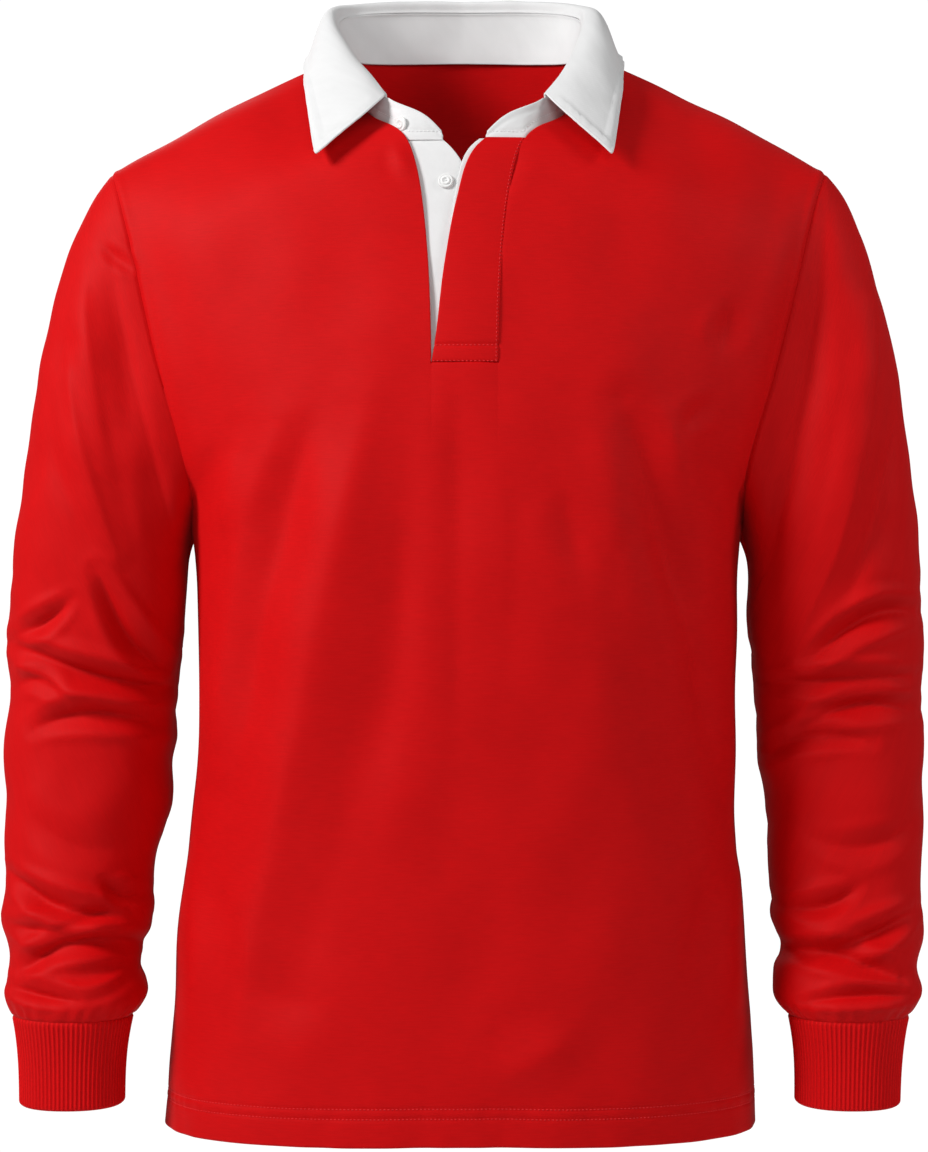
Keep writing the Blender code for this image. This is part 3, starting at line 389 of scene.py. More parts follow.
def read(table, at):
    """The table's columns at the values "at" of its first column, as a row that holds arrays."""
    names = table[0]._fields
    knots = [row[0] for row in table]
    return type(table[0])(*[spline(knots, [getattr(row, name) for row in table], at) for name in names])


def ease(share):
    """0 to 1 with level ends."""
    share = np.clip(share, 0, 1)
    return share * share * (3 - 2 * share)


def bell(distance, width):
    return np.exp(-((distance / width) ** 2))


def power(value, exponent):
    return np.sign(value) * np.abs(value) ** exponent


def stops(start, end, step, close_start=(), close_end=()):
    """Places from start to end about a step apart, with closer ones at these distances from its ends."""
    first = start + (close_start[-1] if close_start else 0)
    last = end - (close_end[-1] if close_end else 0)
    middle = np.linspace(first, last, max(1, round((last - first) / step)) + 1)
    before = [start] + [start + d for d in close_start[:-1]] if close_start else []
    after = [end - d for d in reversed(close_end[:-1])] + [end] if close_end else []
    return np.array([*before, *middle, *after])


def level_arc(table, down, across):
    """Points of a half panel, where "across" runs from 0, inner, to 1, outer."""
    level = read(table, down)
    turn = np.radians(np.minimum(level.turn, 90))
    phi = across * turn
    sideways = np.sin(phi) ** ROUNDNESS / np.sin(turn) ** ROUNDNESS
    backwards = (1 - power(np.cos(phi), ROUNDNESS)) / (1 - power(np.cos(turn), ROUNDNESS))
    swell = level.swell * np.sin(math.pi * across)
    x = level.inner_x + (level.outer_x - level.inner_x) * sideways
    y = level.inner_y + (level.outer_y - level.inner_y) * backwards - swell
    z = level.inner_z + (level.outer_z - level.inner_z) * across**SAG
    return np.stack([x, y, z], axis=-1)


SEAM_CLOSE = (0.0005, 0.0012, 0.0022, 0.0036, 0.0056)
EDGE_CLOSE = (0.0002, 0.0006, 0.0012, 0.0022, 0.0040)
ROWS_NECK = stops(0, NECK_CORNER, STEP, close_start=SEAM_CLOSE)
ROWS_PLACKET = np.concatenate([
    stops(NECK_CORNER, PLACKET_FOOT - FOOT_BOX, STEP)[:-1],
    stops(PLACKET_FOOT - FOOT_BOX, PLACKET_FOOT, 0.0010)])
ROWS_CHEST = stops(PLACKET_FOOT, UNDERARM, STEP, close_start=(0.0008, 0.0016))
HEM_FINE = HEM_TURN + NEEDLES + 0.004
ROWS_BODY = np.concatenate([
    stops(UNDERARM, HEM - HEM_FINE, STEP)[:-1],
    stops(HEM - HEM_FINE, HEM - HEM_TURN + 0.003, 0.0009)[:-1],
    stops(HEM - HEM_TURN + 0.003, HEM, STEP, close_end=EDGE_CLOSE)])
PANEL_ROWS = np.concatenate([ROWS_NECK[:-1], ROWS_PLACKET[:-1], ROWS_CHEST[:-1], ROWS_BODY])
ROW_CORNER = len(ROWS_NECK) - 1
ROW_FOOT = ROW_CORNER + len(ROWS_PLACKET) - 1
ROW_UNDERARM = ROW_FOOT + len(ROWS_CHEST) - 1
HALF_WIDTH = 0.25       # about how wide half a panel is, for its columns
ACROSS = stops(0, 1, STEP / HALF_WIDTH, close_start=[d / HALF_WIDTH for d in EDGE_CLOSE],
               close_end=[d / HALF_WIDTH for d in SEAM_CLOSE])
EDGE_SHARES = [d / HALF_PLACKET for d in EDGE_CLOSE]
STRIP = stops(-1, 1, STEP / HALF_PLACKET, close_start=EDGE_SHARES, close_end=EDGE_SHARES)
ACROSS_STRIP = (1 - STRIP[::-1]) / 2


def front_half():
    """The +X half of the front panel as a grid of points, rows down and columns outwards."""
    down, across = np.meshgrid(PANEL_ROWS, ACROSS, indexing="ij")
    return level_arc(FRONT, down, across)


def placket_points(down, share):
    """Points between the front's two edges. share runs from -1 at the -X edge to 1 at the +X edge."""
    level = read(FRONT, down)
    share = np.broadcast_to(share, np.shape(level.down))
    bulge = PLACKET_BULGE * (1 - ease((level.down - PLACKET_FOOT) / BULGE_FADE))
    y = level.inner_y - bulge * (1 - share**2)
    return np.stack([level.inner_x * share, y, level.inner_z], axis=-1)


def back_half(front):
    """The +X half of the back panel. Its top row is the back neckline and then the front's shoulder seam."""
    turn = np.linspace(0, math.pi / 2, round(0.09 / STEP) + 1)[:-1]
    across = np.concatenate([NECK_SHARE * np.sin(turn), NECK_SHARE + (1 - NECK_SHARE) * ACROSS])
    down, across = np.meshgrid(PANEL_ROWS, across, indexing="ij")
    grid = level_arc(BACK, down, across)
    on_side = (down >= UNDERARM - 1e-9)[..., None]
    grid = grid + (front[:, -1:] - grid[:, -1:]) * on_side * across[..., None] ** 2
    neck_point = front[0, 0]
    middle = grid[0, 0]
    shape = np.stack([1 - np.sin(turn), np.cos(turn), np.cos(turn) ** 2], axis=1)
    neckline = neck_point + (middle - neck_point) * shape
    top = np.concatenate([neckline, front[0]])
    offset = spread_out(top - grid[0], across[0], PANEL_ROWS)
    return grid + offset * (1 - ease(down / NECK_CORNER))[..., None], len(turn)


def spread_out(offset, across, down):
    """A row of offsets copied to every row, evened out over more of its neighbours the further down it is."""
    apart = across[:, None] - across[None]
    mirror = across[:, None] + across[None]
    spacing = np.gradient(across)
    spread = []
    for place in down:
        width = SPREAD_FIRST + SPREAD_MORE * place
        weight = (bell(apart, width) + bell(mirror, width)) * spacing
        spread.append(weight @ offset / weight.sum(axis=1, keepdims=True))
    return np.array(spread)


def armhole_loop(front, back):
    """The armhole's points, from the shoulder point down the front to the underarm and up the back."""
    return np.concatenate([front[:ROW_UNDERARM + 1, -1], back[1:ROW_UNDERARM, -1][::-1]])


def armhole_turns():
    """How far round the arm each point of the armhole loop is, with 0 at the shoulder point."""
    down = PANEL_ROWS[:ROW_UNDERARM + 1]
    there = math.pi * np.interp(down, [0, NECK_CORNER, PLACKET_FOOT, UNDERARM], [0, 4 / 11, 9 / 11, 1])
    return np.concatenate([there, 2 * math.pi - there[1:-1][::-1]])


def ring_points(down, turn, side=None):
    """Points of the +X sleeve or cuff. turn is 0 at the outside of the arm, a quarter turn at its front."""
    ring = read(SLEEVE, down)
    bunch = read(BUNCHES, np.minimum(down, SLEEVE_END))
    outward = power(np.cos(turn), ROUNDNESS)
    forward = power(np.sin(turn), ROUNDNESS)
    outer, inner = bunch.outer_left, bunch.inner_left
    if side == "right":
        outer, inner = bunch.outer_right, bunch.inner_right
    grown = inner + (outer - inner) * (1 + outward) / 2
    x = (ring.outer_x + ring.inner_x) / 2 + ((ring.outer_x - ring.inner_x) / 2 + grown) * outward
    z = (ring.outer_z + ring.inner_z) / 2 + (ring.outer_z - ring.inner_z) / 2 * outward
    y = ring.middle_y - (np.where(forward > 0, ring.front, ring.back) + grown / 2) * forward
    return np.stack([x, y, z], axis=-1)


def sleeve_grid(loop, side):
    """The +X sleeve as rings of points, the first one on the armhole."""
    down = stops(0, SLEEVE_END, SLEEVE_STEP, close_start=SEAM_CLOSE, close_end=SEAM_CLOSE)
    down, turn = np.meshgrid(down, armhole_turns(), indexing="ij")
    grid = ring_points(down, turn, side)
    return grid + (loop - grid[0])[None] * (1 - ease(down / SLEEVE_BLEND))[..., None]


def cuff_grid():
    """The +X cuff, with eight columns to a rib, and how far round it each column is, in ribs."""
    around = np.linalg.norm(np.diff(ring_points(np.full(721, CUFF_END), np.linspace(0, 2 * math.pi, 721)),
                                    axis=0), axis=1)
    length = np.concatenate([[0], np.cumsum(around)])
    ribs = round(length[-1] / RIB_PITCH)
    place = np.linspace(0, ribs, ribs * 8 + 1)[:-1]
    turn = np.interp(place / ribs * length[-1], length, np.linspace(0, 2 * math.pi, 721))
    down = stops(SLEEVE_END, CUFF_END, 0.003, close_start=SEAM_CLOSE, close_end=EDGE_CLOSE)
    down, turn = np.meshgrid(down, turn, indexing="ij")
    return ring_points(down, turn), place


# ---------------------------------------------------------------- lean, folds and unevenness

def leaning(points):
    lean = read(LEANS, points[..., 2])
    share = np.clip(points[..., 0] / LEAN_WIDTH, -1, 1)
    shift = np.where(share < 0, lean.right, lean.left) * np.abs(share)
    return points + np.stack([shift, 0 * shift, 0 * shift], axis=-1)


def fold_heights(points, normals, folds, crisp=0.0, width=1.0):
    """How far the folds lift each point along its normal. A fold has a shallow opposite on either side.

    Crisp folds, up to 1, come to an edge and are steeper on one side.
    """
    heights = np.zeros(len(points))
    flat = points[:, ::2]
    t = np.linspace(0, 1, 41)[:, None]
    for fold in folds:
        start = np.array([fold.start_x, fold.start_z])
        middle = np.array([fold.middle_x, fold.middle_z])
        end = np.array([fold.end_x, fold.end_z])
        curve = start * (1 - t) * (1 - 2 * t) + middle * 4 * t * (1 - t) + end * t * (2 * t - 1)
        reach = 2.4 * fold.half_width
        facing = ease(0.42 + 0.9 * fold.side * normals[:, 1])
        inside = (flat > curve.min(axis=0) - reach) & (flat < curve.max(axis=0) + reach)
        chosen = np.flatnonzero(inside.all(axis=1) & (facing > 0))
        apart = np.linalg.norm(flat[chosen, None] - curve[None], axis=2)
        nearest = apart.argmin(axis=1)
        along = np.gradient(curve, axis=0)[nearest]
        beside = flat[chosen] - curve[nearest]
        further = (along * beside).sum(axis=1) / (along**2).sum(axis=1)
        further = np.clip(further, np.where(nearest == 0, 0, -1), np.where(nearest == len(t) - 1, 0, 1))
        near = t[nearest, 0] + further * t[1, 0]
        beside -= further[:, None] * along
        away = np.linalg.norm(beside, axis=1)
        away /= fold.half_width * width * (0.8 + 0.4 * np.sin(math.pi * near))
        turned_side = np.sign(along[:, 0] * beside[:, 1] - along[:, 1] * beside[:, 0])
        slanted = away * (1 + 0.45 * crisp * turned_side * ease(away / 0.3))
        edged = np.exp(-(np.sqrt(slanted**2 + 0.03) - 0.173) / 0.48)
        profile = (1 - crisp) * bell(away, 0.62) + crisp * edged - 0.32 * bell(away - 1.5, 0.55)
        taper = np.sin(math.pi * np.clip(near, 0.03, 0.97)) ** 0.7
        heights[chosen] += fold.height * profile * taper * facing[chosen]
    return heights


def waves(points, seed, count, longest, shortest, height):
    """Soft unevenness: a sum of waves of many directions, the same on every run."""
    dice = np.random.default_rng(seed)
    total = np.zeros(len(points))
    for _ in range(count):
        length = dice.uniform(shortest, longest)
        direction = dice.normal(size=3)
        direction /= np.linalg.norm(direction)
        phase = dice.uniform(0, 2 * math.pi)
        total += np.sin(points @ direction * 2 * math.pi / length + phase)
    return total * height / math.sqrt(count)


def puckers(along, seed, spacing):
    """An uneven row of small rises along a seam, 0 to 1."""
    dice = np.random.default_rng(seed)
    shift = sum(dice.uniform(0.5, 1.0) * np.sin(along * 2 * math.pi / (spacing * k) + dice.uniform(0, 6))
                for k in (3.1, 5.3, 8.7))
    return 0.5 + 0.5 * np.sin(along * 2 * math.pi / spacing + 1.4 * shift)


# ---------------------------------------------------------------- grids into cloth

def quads(rows, columns, closed=False, left_out=None):
    """Corner numbers of the grid's cells, as rows of four, seen from the face of the cloth."""
    wide = columns if closed else columns - 1
    r, c = np.meshgrid(np.arange(rows - 1), np.arange(wide), indexing="ij")
    keep = np.ones(r.shape, bool) if left_out is None else ~left_out(r, c)
    r = r[keep]
    c = c[keep]
    d = (c + 1) % columns
    cells = np.stack([r * columns + c, r * columns + d, (r + 1) * columns + d, (r + 1) * columns + c], axis=1)
    return cells, np.stack([r, c], axis=1)


class Cloth:
    """A piece of cloth: its grid of points, its cells, and its measures along the cloth."""

    def __init__(self, grid, closed=False, left_out=None):
        self.shape = grid.shape[:2]
        self.points = grid.reshape(-1, 3).copy()
        self.closed = closed
        self.cells, self.places = quads(*self.shape, closed, left_out)
        along = np.linalg.norm(np.diff(grid, axis=0), axis=2)
        self.down = np.concatenate([np.zeros((1, self.shape[1])), np.cumsum(along, axis=0)])
        beside = np.linalg.norm(np.diff(grid, axis=1), axis=2)
        self.across = np.concatenate([np.zeros((self.shape[0], 1)), np.cumsum(beside, axis=1)], axis=1)
        self.grain_across, self.grain_down = self.across, self.down
        self.lift = np.zeros(self.shape)
        self.edge = np.full(self.shape, 1.0)
        self.normals = None
        self.smooth = None

    @property
    def up(self):
        """How far each point is from the last row, along the cloth."""
        return self.down[-1:] - self.down

    @property
    def back_across(self):
        """How far each point is from the last column, along the cloth."""
        return self.across[:, -1:] - self.across

    def grid(self):
        return self.points.reshape(*self.shape, 3)

    def normal_grid(self):
        return self.normals.reshape(*self.shape, 3)


def find_normals(cloths):
    """Gives every cloth unit normals at its points. Points that several cloths share get the same one."""
    sums = []
    for cloth in cloths:
        corners = cloth.points[cloth.cells]
        facing = np.cross(corners[:, 2] - corners[:, 0], corners[:, 3] - corners[:, 1])
        total = np.zeros_like(cloth.points)
        for k in range(4):
            np.add.at(total, cloth.cells[:, k], facing)
        sums.append(total)
    keys = np.round(np.concatenate([cloth.points for cloth in cloths]) * 1e6).astype(np.int64)
    _, same = np.unique(keys, axis=0, return_inverse=True)
    same = same.reshape(-1)
    shared = np.zeros((same.max() + 1, 3))
    np.add.at(shared, same, np.concatenate(sums))
    shared /= np.maximum(np.linalg.norm(shared, axis=1, keepdims=True), 1e-18)
    start = 0
    for cloth in cloths:
        cloth.normals = shared[same[start:start + len(cloth.points)]]
        start += len(cloth.points)


def make_piece(name, cloth, thickness, material):
    """The closed mesh of a cloth: its face, its inside and its rims, rounded at open edges."""
    thickness = np.broadcast_to(thickness, cloth.shape).reshape(-1, 1)
    radius = thickness / 2
    inside = np.clip(1 - cloth.edge.reshape(-1, 1) / radius, 0, 0.97)
    pull = radius * (1 - np.sqrt(1 - inside**2))
    inwards = cloth.normals if cloth.smooth is None else cloth.smooth
    face = cloth.points - inwards * pull
    inner = cloth.points - inwards * (thickness - pull)
    count = len(face)
    cells = cloth.cells
    a = cells.reshape(-1)
    b = np.roll(cells, -1, axis=1).reshape(-1)
    rim = ~np.isin(a * count + b, b * count + a)
    rims = np.stack([b[rim], a[rim], a[rim] + count, b[rim] + count], axis=1)
    faces = np.concatenate([cells, cells[:, ::-1] + count, rims])
    used, place = np.unique(faces, return_inverse=True)
    mesh = bpy.data.meshes.new(name)
    mesh.from_pydata(np.concatenate([face, inner])[used].tolist(), [], place.reshape(-1, 4).tolist())
    around = np.concatenate([cloth.grain_across, cloth.grain_across[:, -1:] + 0.001], axis=1)
    below = np.concatenate([cloth.grain_down, cloth.grain_down[:, :1]], axis=1)
    r, c = cloth.places[:, 0], cloth.places[:, 1]
    corners = np.stack([
        np.stack([around[r + i, c + j], -below[r + i, c + j]], axis=1)
        for i, j in ((0, 0), (0, 1), (1, 1), (1, 0))], axis=1)
    flat = np.stack([cloth.grain_across.reshape(-1), -cloth.grain_down.reshape(-1)], axis=1)
    at_rims = flat[rims % count]
    layer = mesh.uv_layers.new(name="cloth")
    layer.data.foreach_set("uv", np.concatenate([corners, corners[:, ::-1], at_rims]).reshape(-1))
    mesh.shade_smooth()
    mesh.materials.append(material)
    made = bpy.data.objects.new(name, mesh)
    bpy.context.scene.collection.objects.link(made)
    return made


def stitches(name, lines, material):
    """Rows of stitches, each line being its places and the cloth's normals there."""
    points = []
    faces = []
    sides = 6
    for places, normals in lines:
        steps = np.linalg.norm(np.diff(places, axis=0), axis=1)
        along = np.concatenate([[0], np.cumsum(steps)])
        count = int(along[-1] / (STITCH + STITCH_GAP))
        for k in range(count):
            centre = (k + 0.5) * along[-1] / count
            at = centre + np.array([-0.5, -0.36, 0.36, 0.5]) * STITCH
            middle = np.stack([np.interp(at, along, places[:, i]) for i in range(3)], axis=1)
            up = np.stack([np.interp(at, along, normals[:, i]) for i in range(3)], axis=1)
            forward = middle[-1] - middle[0]
            forward /= np.linalg.norm(forward)
            side = np.cross(forward, up)
            for ring, (size, high) in enumerate([(0.45, -0.3), (1.0, 0.55), (1.0, 0.55), (0.45, -0.3)]):
                for s in range(sides):
                    turn = 2 * math.pi * s / sides
                    points.append(middle[ring] + THREAD * (high * up[ring]
                                  + size * (math.cos(turn) * side[ring] + math.sin(turn) * up[ring])))
            base = len(points) - 4 * sides
            faces.append([base + s for s in reversed(range(sides))])
            faces.append([base + 3 * sides + s for s in range(sides)])
            for ring in range(3):
                low = base + ring * sides
                for s in range(sides):
                    n = (s + 1) % sides
                    faces.append([low + s, low + n, low + sides + n, low + sides + s])
    mesh = bpy.data.meshes.new(name)
    mesh.from_pydata(np.array(points).tolist(), [], faces)
    mesh.shade_smooth()
    mesh.materials.append(material)
    made = bpy.data.objects.new(name, mesh)
    bpy.context.scene.collection.objects.link(made)
    return made


def line_at(cloth, measure, value, by_columns=True):
    """The line on the cloth where a measure reaches a value, with one place for each column or row."""
    grid = cloth.grid()
    normals = cloth.normal_grid()
    if not by_columns:
        grid = grid.transpose(1, 0, 2)
        normals = normals.transpose(1, 0, 2)
        measure = measure.T
    places = []
    facing = []
    for c in range(grid.shape[1]):
        order = np.argsort(measure[:, c])
        if measure[order[0], c] <= value <= measure[order[-1], c]:
            at = measure[order, c]
            places.append([np.interp(value, at, grid[order, c, i]) for i in range(3)])
            facing.append([np.interp(value, at, normals[order, c, i]) for i in range(3)])
    return np.array(places), np.array(facing)


# ---------------------------------------------------------------- the red pieces

def dip(distance):
    """The hollow along a seam, the same on both sides of it."""
    return -SEAM_DIP * bell(distance, DIP_WIDTH)


def welt(distance):
    """The rise where a seam's turnings lie under the cloth."""
    return WELT * bell(distance - WELT_AWAY, WELT_WIDTH) * (1 - bell(distance, 0.0012))


def front_cloth(half):
    strip = np.stack([placket_points(PANEL_ROWS, share) for share in STRIP[1:-1][::-1]], axis=1)
    grid = np.concatenate([half[:, ::-1], strip, half * [-1, 1, 1]], axis=1)
    first = half.shape[1] - 1
    last = first + strip.shape[1]
    cloth = Cloth(grid, left_out=lambda r, c: (r < ROW_FOOT) & (c >= first) & (c <= last))
    beside = cloth.across - cloth.across[:, last + 1:last + 2]
    rows = np.arange(cloth.shape[0])[:, None]
    open_side = (rows > ROW_CORNER) & (rows <= ROW_FOOT) & (beside >= 0)
    cloth.edge = np.where(open_side, beside, cloth.edge)
    seam = cloth.across[:, first:first + 1] - cloth.across
    cloth.lift += np.where((rows > ROW_CORNER) & (rows <= ROW_FOOT) & (seam >= 0), 0.15 * dip(seam), 0)
    on_strip = (beside <= 0) & (seam <= 0)
    below = cloth.down - cloth.down[ROW_FOOT]
    cloth.lift += np.where(on_strip, 0.6 * dip(below), 0)
    return cloth, first


def panel_lifts(cloth, seed):
    """Seams down the sides and at the armholes, and the hem."""
    rows = np.arange(cloth.shape[0])[:, None]
    for side in (cloth.across, cloth.back_across):
        cloth.lift += dip(side) + np.where(rows <= ROW_UNDERARM, welt(side), 0)
    up = cloth.up
    cloth.edge = np.minimum(cloth.edge, up)
    for row in (HEM_TURN, HEM_TURN + NEEDLES):
        cloth.lift -= HEM_DIP * bell(up - row, DIP_WIDTH)
    drawn = puckers(cloth.across, seed, 0.011) - 0.5
    cloth.lift += 0.0007 * drawn * bell(up - HEM_TURN - NEEDLES / 2, 0.006)
    cloth.lift += 0.0006 * (puckers(cloth.across, seed + 1, 0.034) - 0.5) * ease(1 - up / 0.03)


def overlap_cloth():
    rows = PANEL_ROWS[ROW_CORNER:ROW_FOOT + 1]
    free = read(PLACKET, rows).overlap
    grid = np.stack([placket_points(rows, 1 + (free - 1) * step) for step in ACROSS_STRIP], axis=1)
    grid[-1, :, 0] = placket_points(rows[-1:], 1)[0, 0] * (1 - 2 * ACROSS_STRIP)
    cloth = Cloth(grid)
    box = cloth.up - FOOT_BOX
    cloth.edge = np.where(cloth.up > 0.0004, cloth.back_across, 1.0)
    cloth.lift += 0.3 * dip(cloth.across) + 1.3 * dip(box) + 0.6 * dip(cloth.up)
    return cloth


def facing_cloth():
    """The overlap's white facing, which shows beside its red edge towards the top."""
    rows = PANEL_ROWS[ROW_CORNER:ROW_FOOT - FACING_SHORT]
    level = read(FRONT, rows)
    peek = FACING_PEEK * (1 - ease((rows - NECK_CORNER) / FACING_FADE))
    free = read(PLACKET, rows).overlap - (peek - FACING_INSET) / level.inner_x
    grid = np.stack([placket_points(rows, FACING_SEAM + (free - FACING_SEAM) * step)
                     for step in ACROSS_STRIP], axis=1)
    cloth = Cloth(grid)
    cloth.edge = np.minimum(cloth.back_across, cloth.across)
    return cloth


def underlap_cloth():
    rows = stops(NECK_CORNER + 0.0005, PLACKET_FOOT + UNDERLAP_TUCK, STEP)
    free = read(PLACKET, np.minimum(rows, PLACKET_FOOT)).underlap
    grid = np.stack([placket_points(rows, free - (free + UNDERLAP_REACH) * step)
                     for step in ACROSS_STRIP], axis=1)
    cloth = Cloth(grid)
    cloth.edge = cloth.across
    return cloth


def sleeve_cloth(loop, side):
    grid = sleeve_grid(loop, side)
    if side == "right":
        grid = grid[:, ::-1] * [-1, 1, 1]
    cloth = Cloth(grid, closed=True)
    under = cloth.shape[1] // 2
    seam = np.abs(cloth.across - cloth.across[:, under:under + 1])
    cloth.lift += dip(cloth.down) + 0.6 * dip(cloth.up) + 0.8 * dip(seam) * ease(cloth.down / 0.004)
    around = cloth.across / cloth.across[:, -1:] * 0.25
    drawn = puckers(around, 11 if side == "right" else 12, 0.0105)
    cloth.lift += 0.0012 * (drawn - 0.4) * bell(cloth.up - 0.004, 0.007) * (1 - bell(cloth.up, 0.002))
    return cloth


def cuff_cloth(side):
    grid, place = cuff_grid()
    if side == "right":
        grid = grid[:, ::-1] * [-1, 1, 1]
        place = place[::-1]
    cloth = Cloth(grid, closed=True)
    rib = (0.5 + 0.5 * np.cos(2 * math.pi * place)) ** 1.4
    grown = ease(cloth.down / 0.002) * ease(cloth.up / 0.002)
    cloth.lift += 0.6 * dip(cloth.down) + RIB_HEIGHT * rib[None] * grown
    cloth.edge = cloth.up
    cloth.grain_across = np.broadcast_to(place * RIB_PITCH, cloth.shape)
    return cloth


NECK_MIDDLE = np.array([0, 0, -0.03])


def displace(cloths, folded, own, other):
    """Lifts the cloths' points by their folds, their unevenness and their seams, then leans them."""
    find_normals([*cloths.values()])
    for name, cloth in cloths.items():
        if name.startswith("cuff"):
            cloth.smooth = cloth.normals
        points = cloth.points
        height = cloth.lift.reshape(-1).copy()
        if name in folded:
            shared = 1 - ease((-0.328 - points[:, 2]) / 0.032)
            on_sleeve = name.startswith("sleeve")
            for folds, is_own in ((own, not on_sleeve), (other, on_sleeve)):
                if folds is BODY_FOLDS:
                    heights = BODY_SCALE * fold_heights(points, cloth.normals, folds, BODY_CRISP)
                else:
                    heights = SLEEVE_SCALE * fold_heights(points, cloth.normals, folds, SLEEVE_CRISP,
                                                          SLEEVE_NARROW)
                height += heights * (1 if is_own else shared)
            calm = ease((np.linalg.norm(points - NECK_MIDDLE, axis=1) - 0.105) / 0.05)
            height += waves(points, 3, 16, 0.15, 0.05, 0.0011) * calm
            if on_sleeve:
                height += waves(points, 4, 16, 0.06, 0.025, 0.0005) * ease(cloth.down.reshape(-1) / 0.05)
                gathered = ease(cloth.up.reshape(-1) / 0.012)
                height = cloth.lift.reshape(-1) + (height - cloth.lift.reshape(-1)) * gathered
        cloth.points = leaning(points + height[:, None] * cloth.normals)


def box_of(points):
    return points.min(axis=0), points.max(axis=0)


def fit_to_frame(cloths):
    """The scale and shift that lay the front and back onto the boxes of the model's front and back."""
    low, high = box_of(np.concatenate([cloths["front"].points, cloths["back"].points]))
    boxes = [np.array(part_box(name)) for name in ("front", "back")]
    frame_low = np.minimum(boxes[0][0], boxes[1][0])
    frame_high = np.maximum(boxes[0][1], boxes[1][1])
    scale = (frame_high - frame_low) / (high - low)
    return lambda points: frame_low + (points - low) * scale


# ---------------------------------------------------------------- the collar

def neck_run(front, back, neck_columns):
    """The +X half of the line that the band stands on: back neckline, front neckline, top of the placket."""
    shares = np.linspace(1, PLACKET[0].overlap, 8)[1:]
    end = placket_points(np.full(len(shares), NECK_CORNER), shares)
    return np.concatenate([back[0, :neck_columns], front[:ROW_CORNER + 1, 0], end])


def along_line(line, run):
    steps = np.linalg.norm(np.diff(line, axis=0), axis=1)
    share = np.concatenate([[0], np.cumsum(steps)]) / steps.sum()
    return np.stack([np.interp(run, share, line[:, i]) for i in range(3)], axis=-1)


def columns_of(station, name):
    return np.stack([getattr(station, name + "_" + axis) for axis in "xyz"], axis=-1)


def both_sides(grid):
    """A half collar's grid and its mirror image, joined at the centre back, seen from outside."""
    return np.concatenate([grid[:, ::-1], (grid * [-1, 1, 1])[:, 1:]], axis=1)


def fall(run):
    """How far below the fold the leaf is sewn to the band, which fades out towards the leaf's front end."""
    return COLLAR_SHORT + (COLLAR_FALL - COLLAR_SHORT) * (1 - ease((run - 0.5) / (LEAF_RUN - 0.5)))


def fold_shift(run):
    """The collar isn't quite even: its fold stands further to the wearer's right at its sides."""
    shift = -FOLD_SHIFT * bell(run - 0.45, 0.22)
    return np.stack([shift, 0 * shift, 0 * shift], axis=-1)


def seam_place(run, base, top):
    height = np.linalg.norm(top - base, axis=-1, keepdims=True)
    open_end = ease((run - LEAF_RUN) / 0.02)[..., None]
    return top + (base - top) * fall(run)[..., None] / height * (1 - open_end)


def tucked(base):
    """The band's foot, turned in behind the edge of the red cloth."""
    inwards = -base * [1, 1, 0] / np.linalg.norm(base[:, :2], axis=1, keepdims=True)
    return base + inwards * TUCK_IN - np.array([0, 0, TUCK_DOWN])


RUN_LENGTH = 0.24       # about how long the half neckline is
LEAF_HEIGHT = 0.075     # about how high the leaf is
FOLD_CLOSE = (0.0009, 0.0018, 0.0027, 0.0038, 0.0052, 0.0070)


def band_cloth(line, fitted):
    close = [d / RUN_LENGTH for d in EDGE_CLOSE]
    run = np.concatenate([stops(0, LEAF_RUN, STEP / RUN_LENGTH)[:-1],
                          stops(LEAF_RUN, 1, 0.002 / RUN_LENGTH, close_end=close)])
    base = tucked(along_line(line, run))
    top = columns_of(read(COLLAR, run), "top")
    seam = seam_place(run, base, top)
    up = stops(0, 1, 0.08, close_start=(0.006, 0.02, 0.04, 0.08), close_end=(0.02, 0.05))[:, None, None]
    grid = seam + (base - seam) * up
    runs = np.concatenate([run[::-1], run[1:]])[None]
    whole = leaning(both_sides(grid)) + fold_shift(runs) * (1 - up)
    cloth = Cloth(fitted(whole[:, ::-1]))
    bare = runs >= LEAF_RUN + 0.01
    ends = np.minimum(cloth.across, cloth.back_across)
    cloth.edge = np.minimum(np.where(bare, cloth.down, 1.0), ends)
    cloth.lift += np.where(bare, 0, dip(cloth.down)) - COLLAR_DIP * bell(cloth.up - BAND_STITCH, 0.0010)
    cloth.lift -= np.where(bare, COLLAR_DIP * bell(cloth.down - 0.0045, 0.0012), 0)
    return cloth


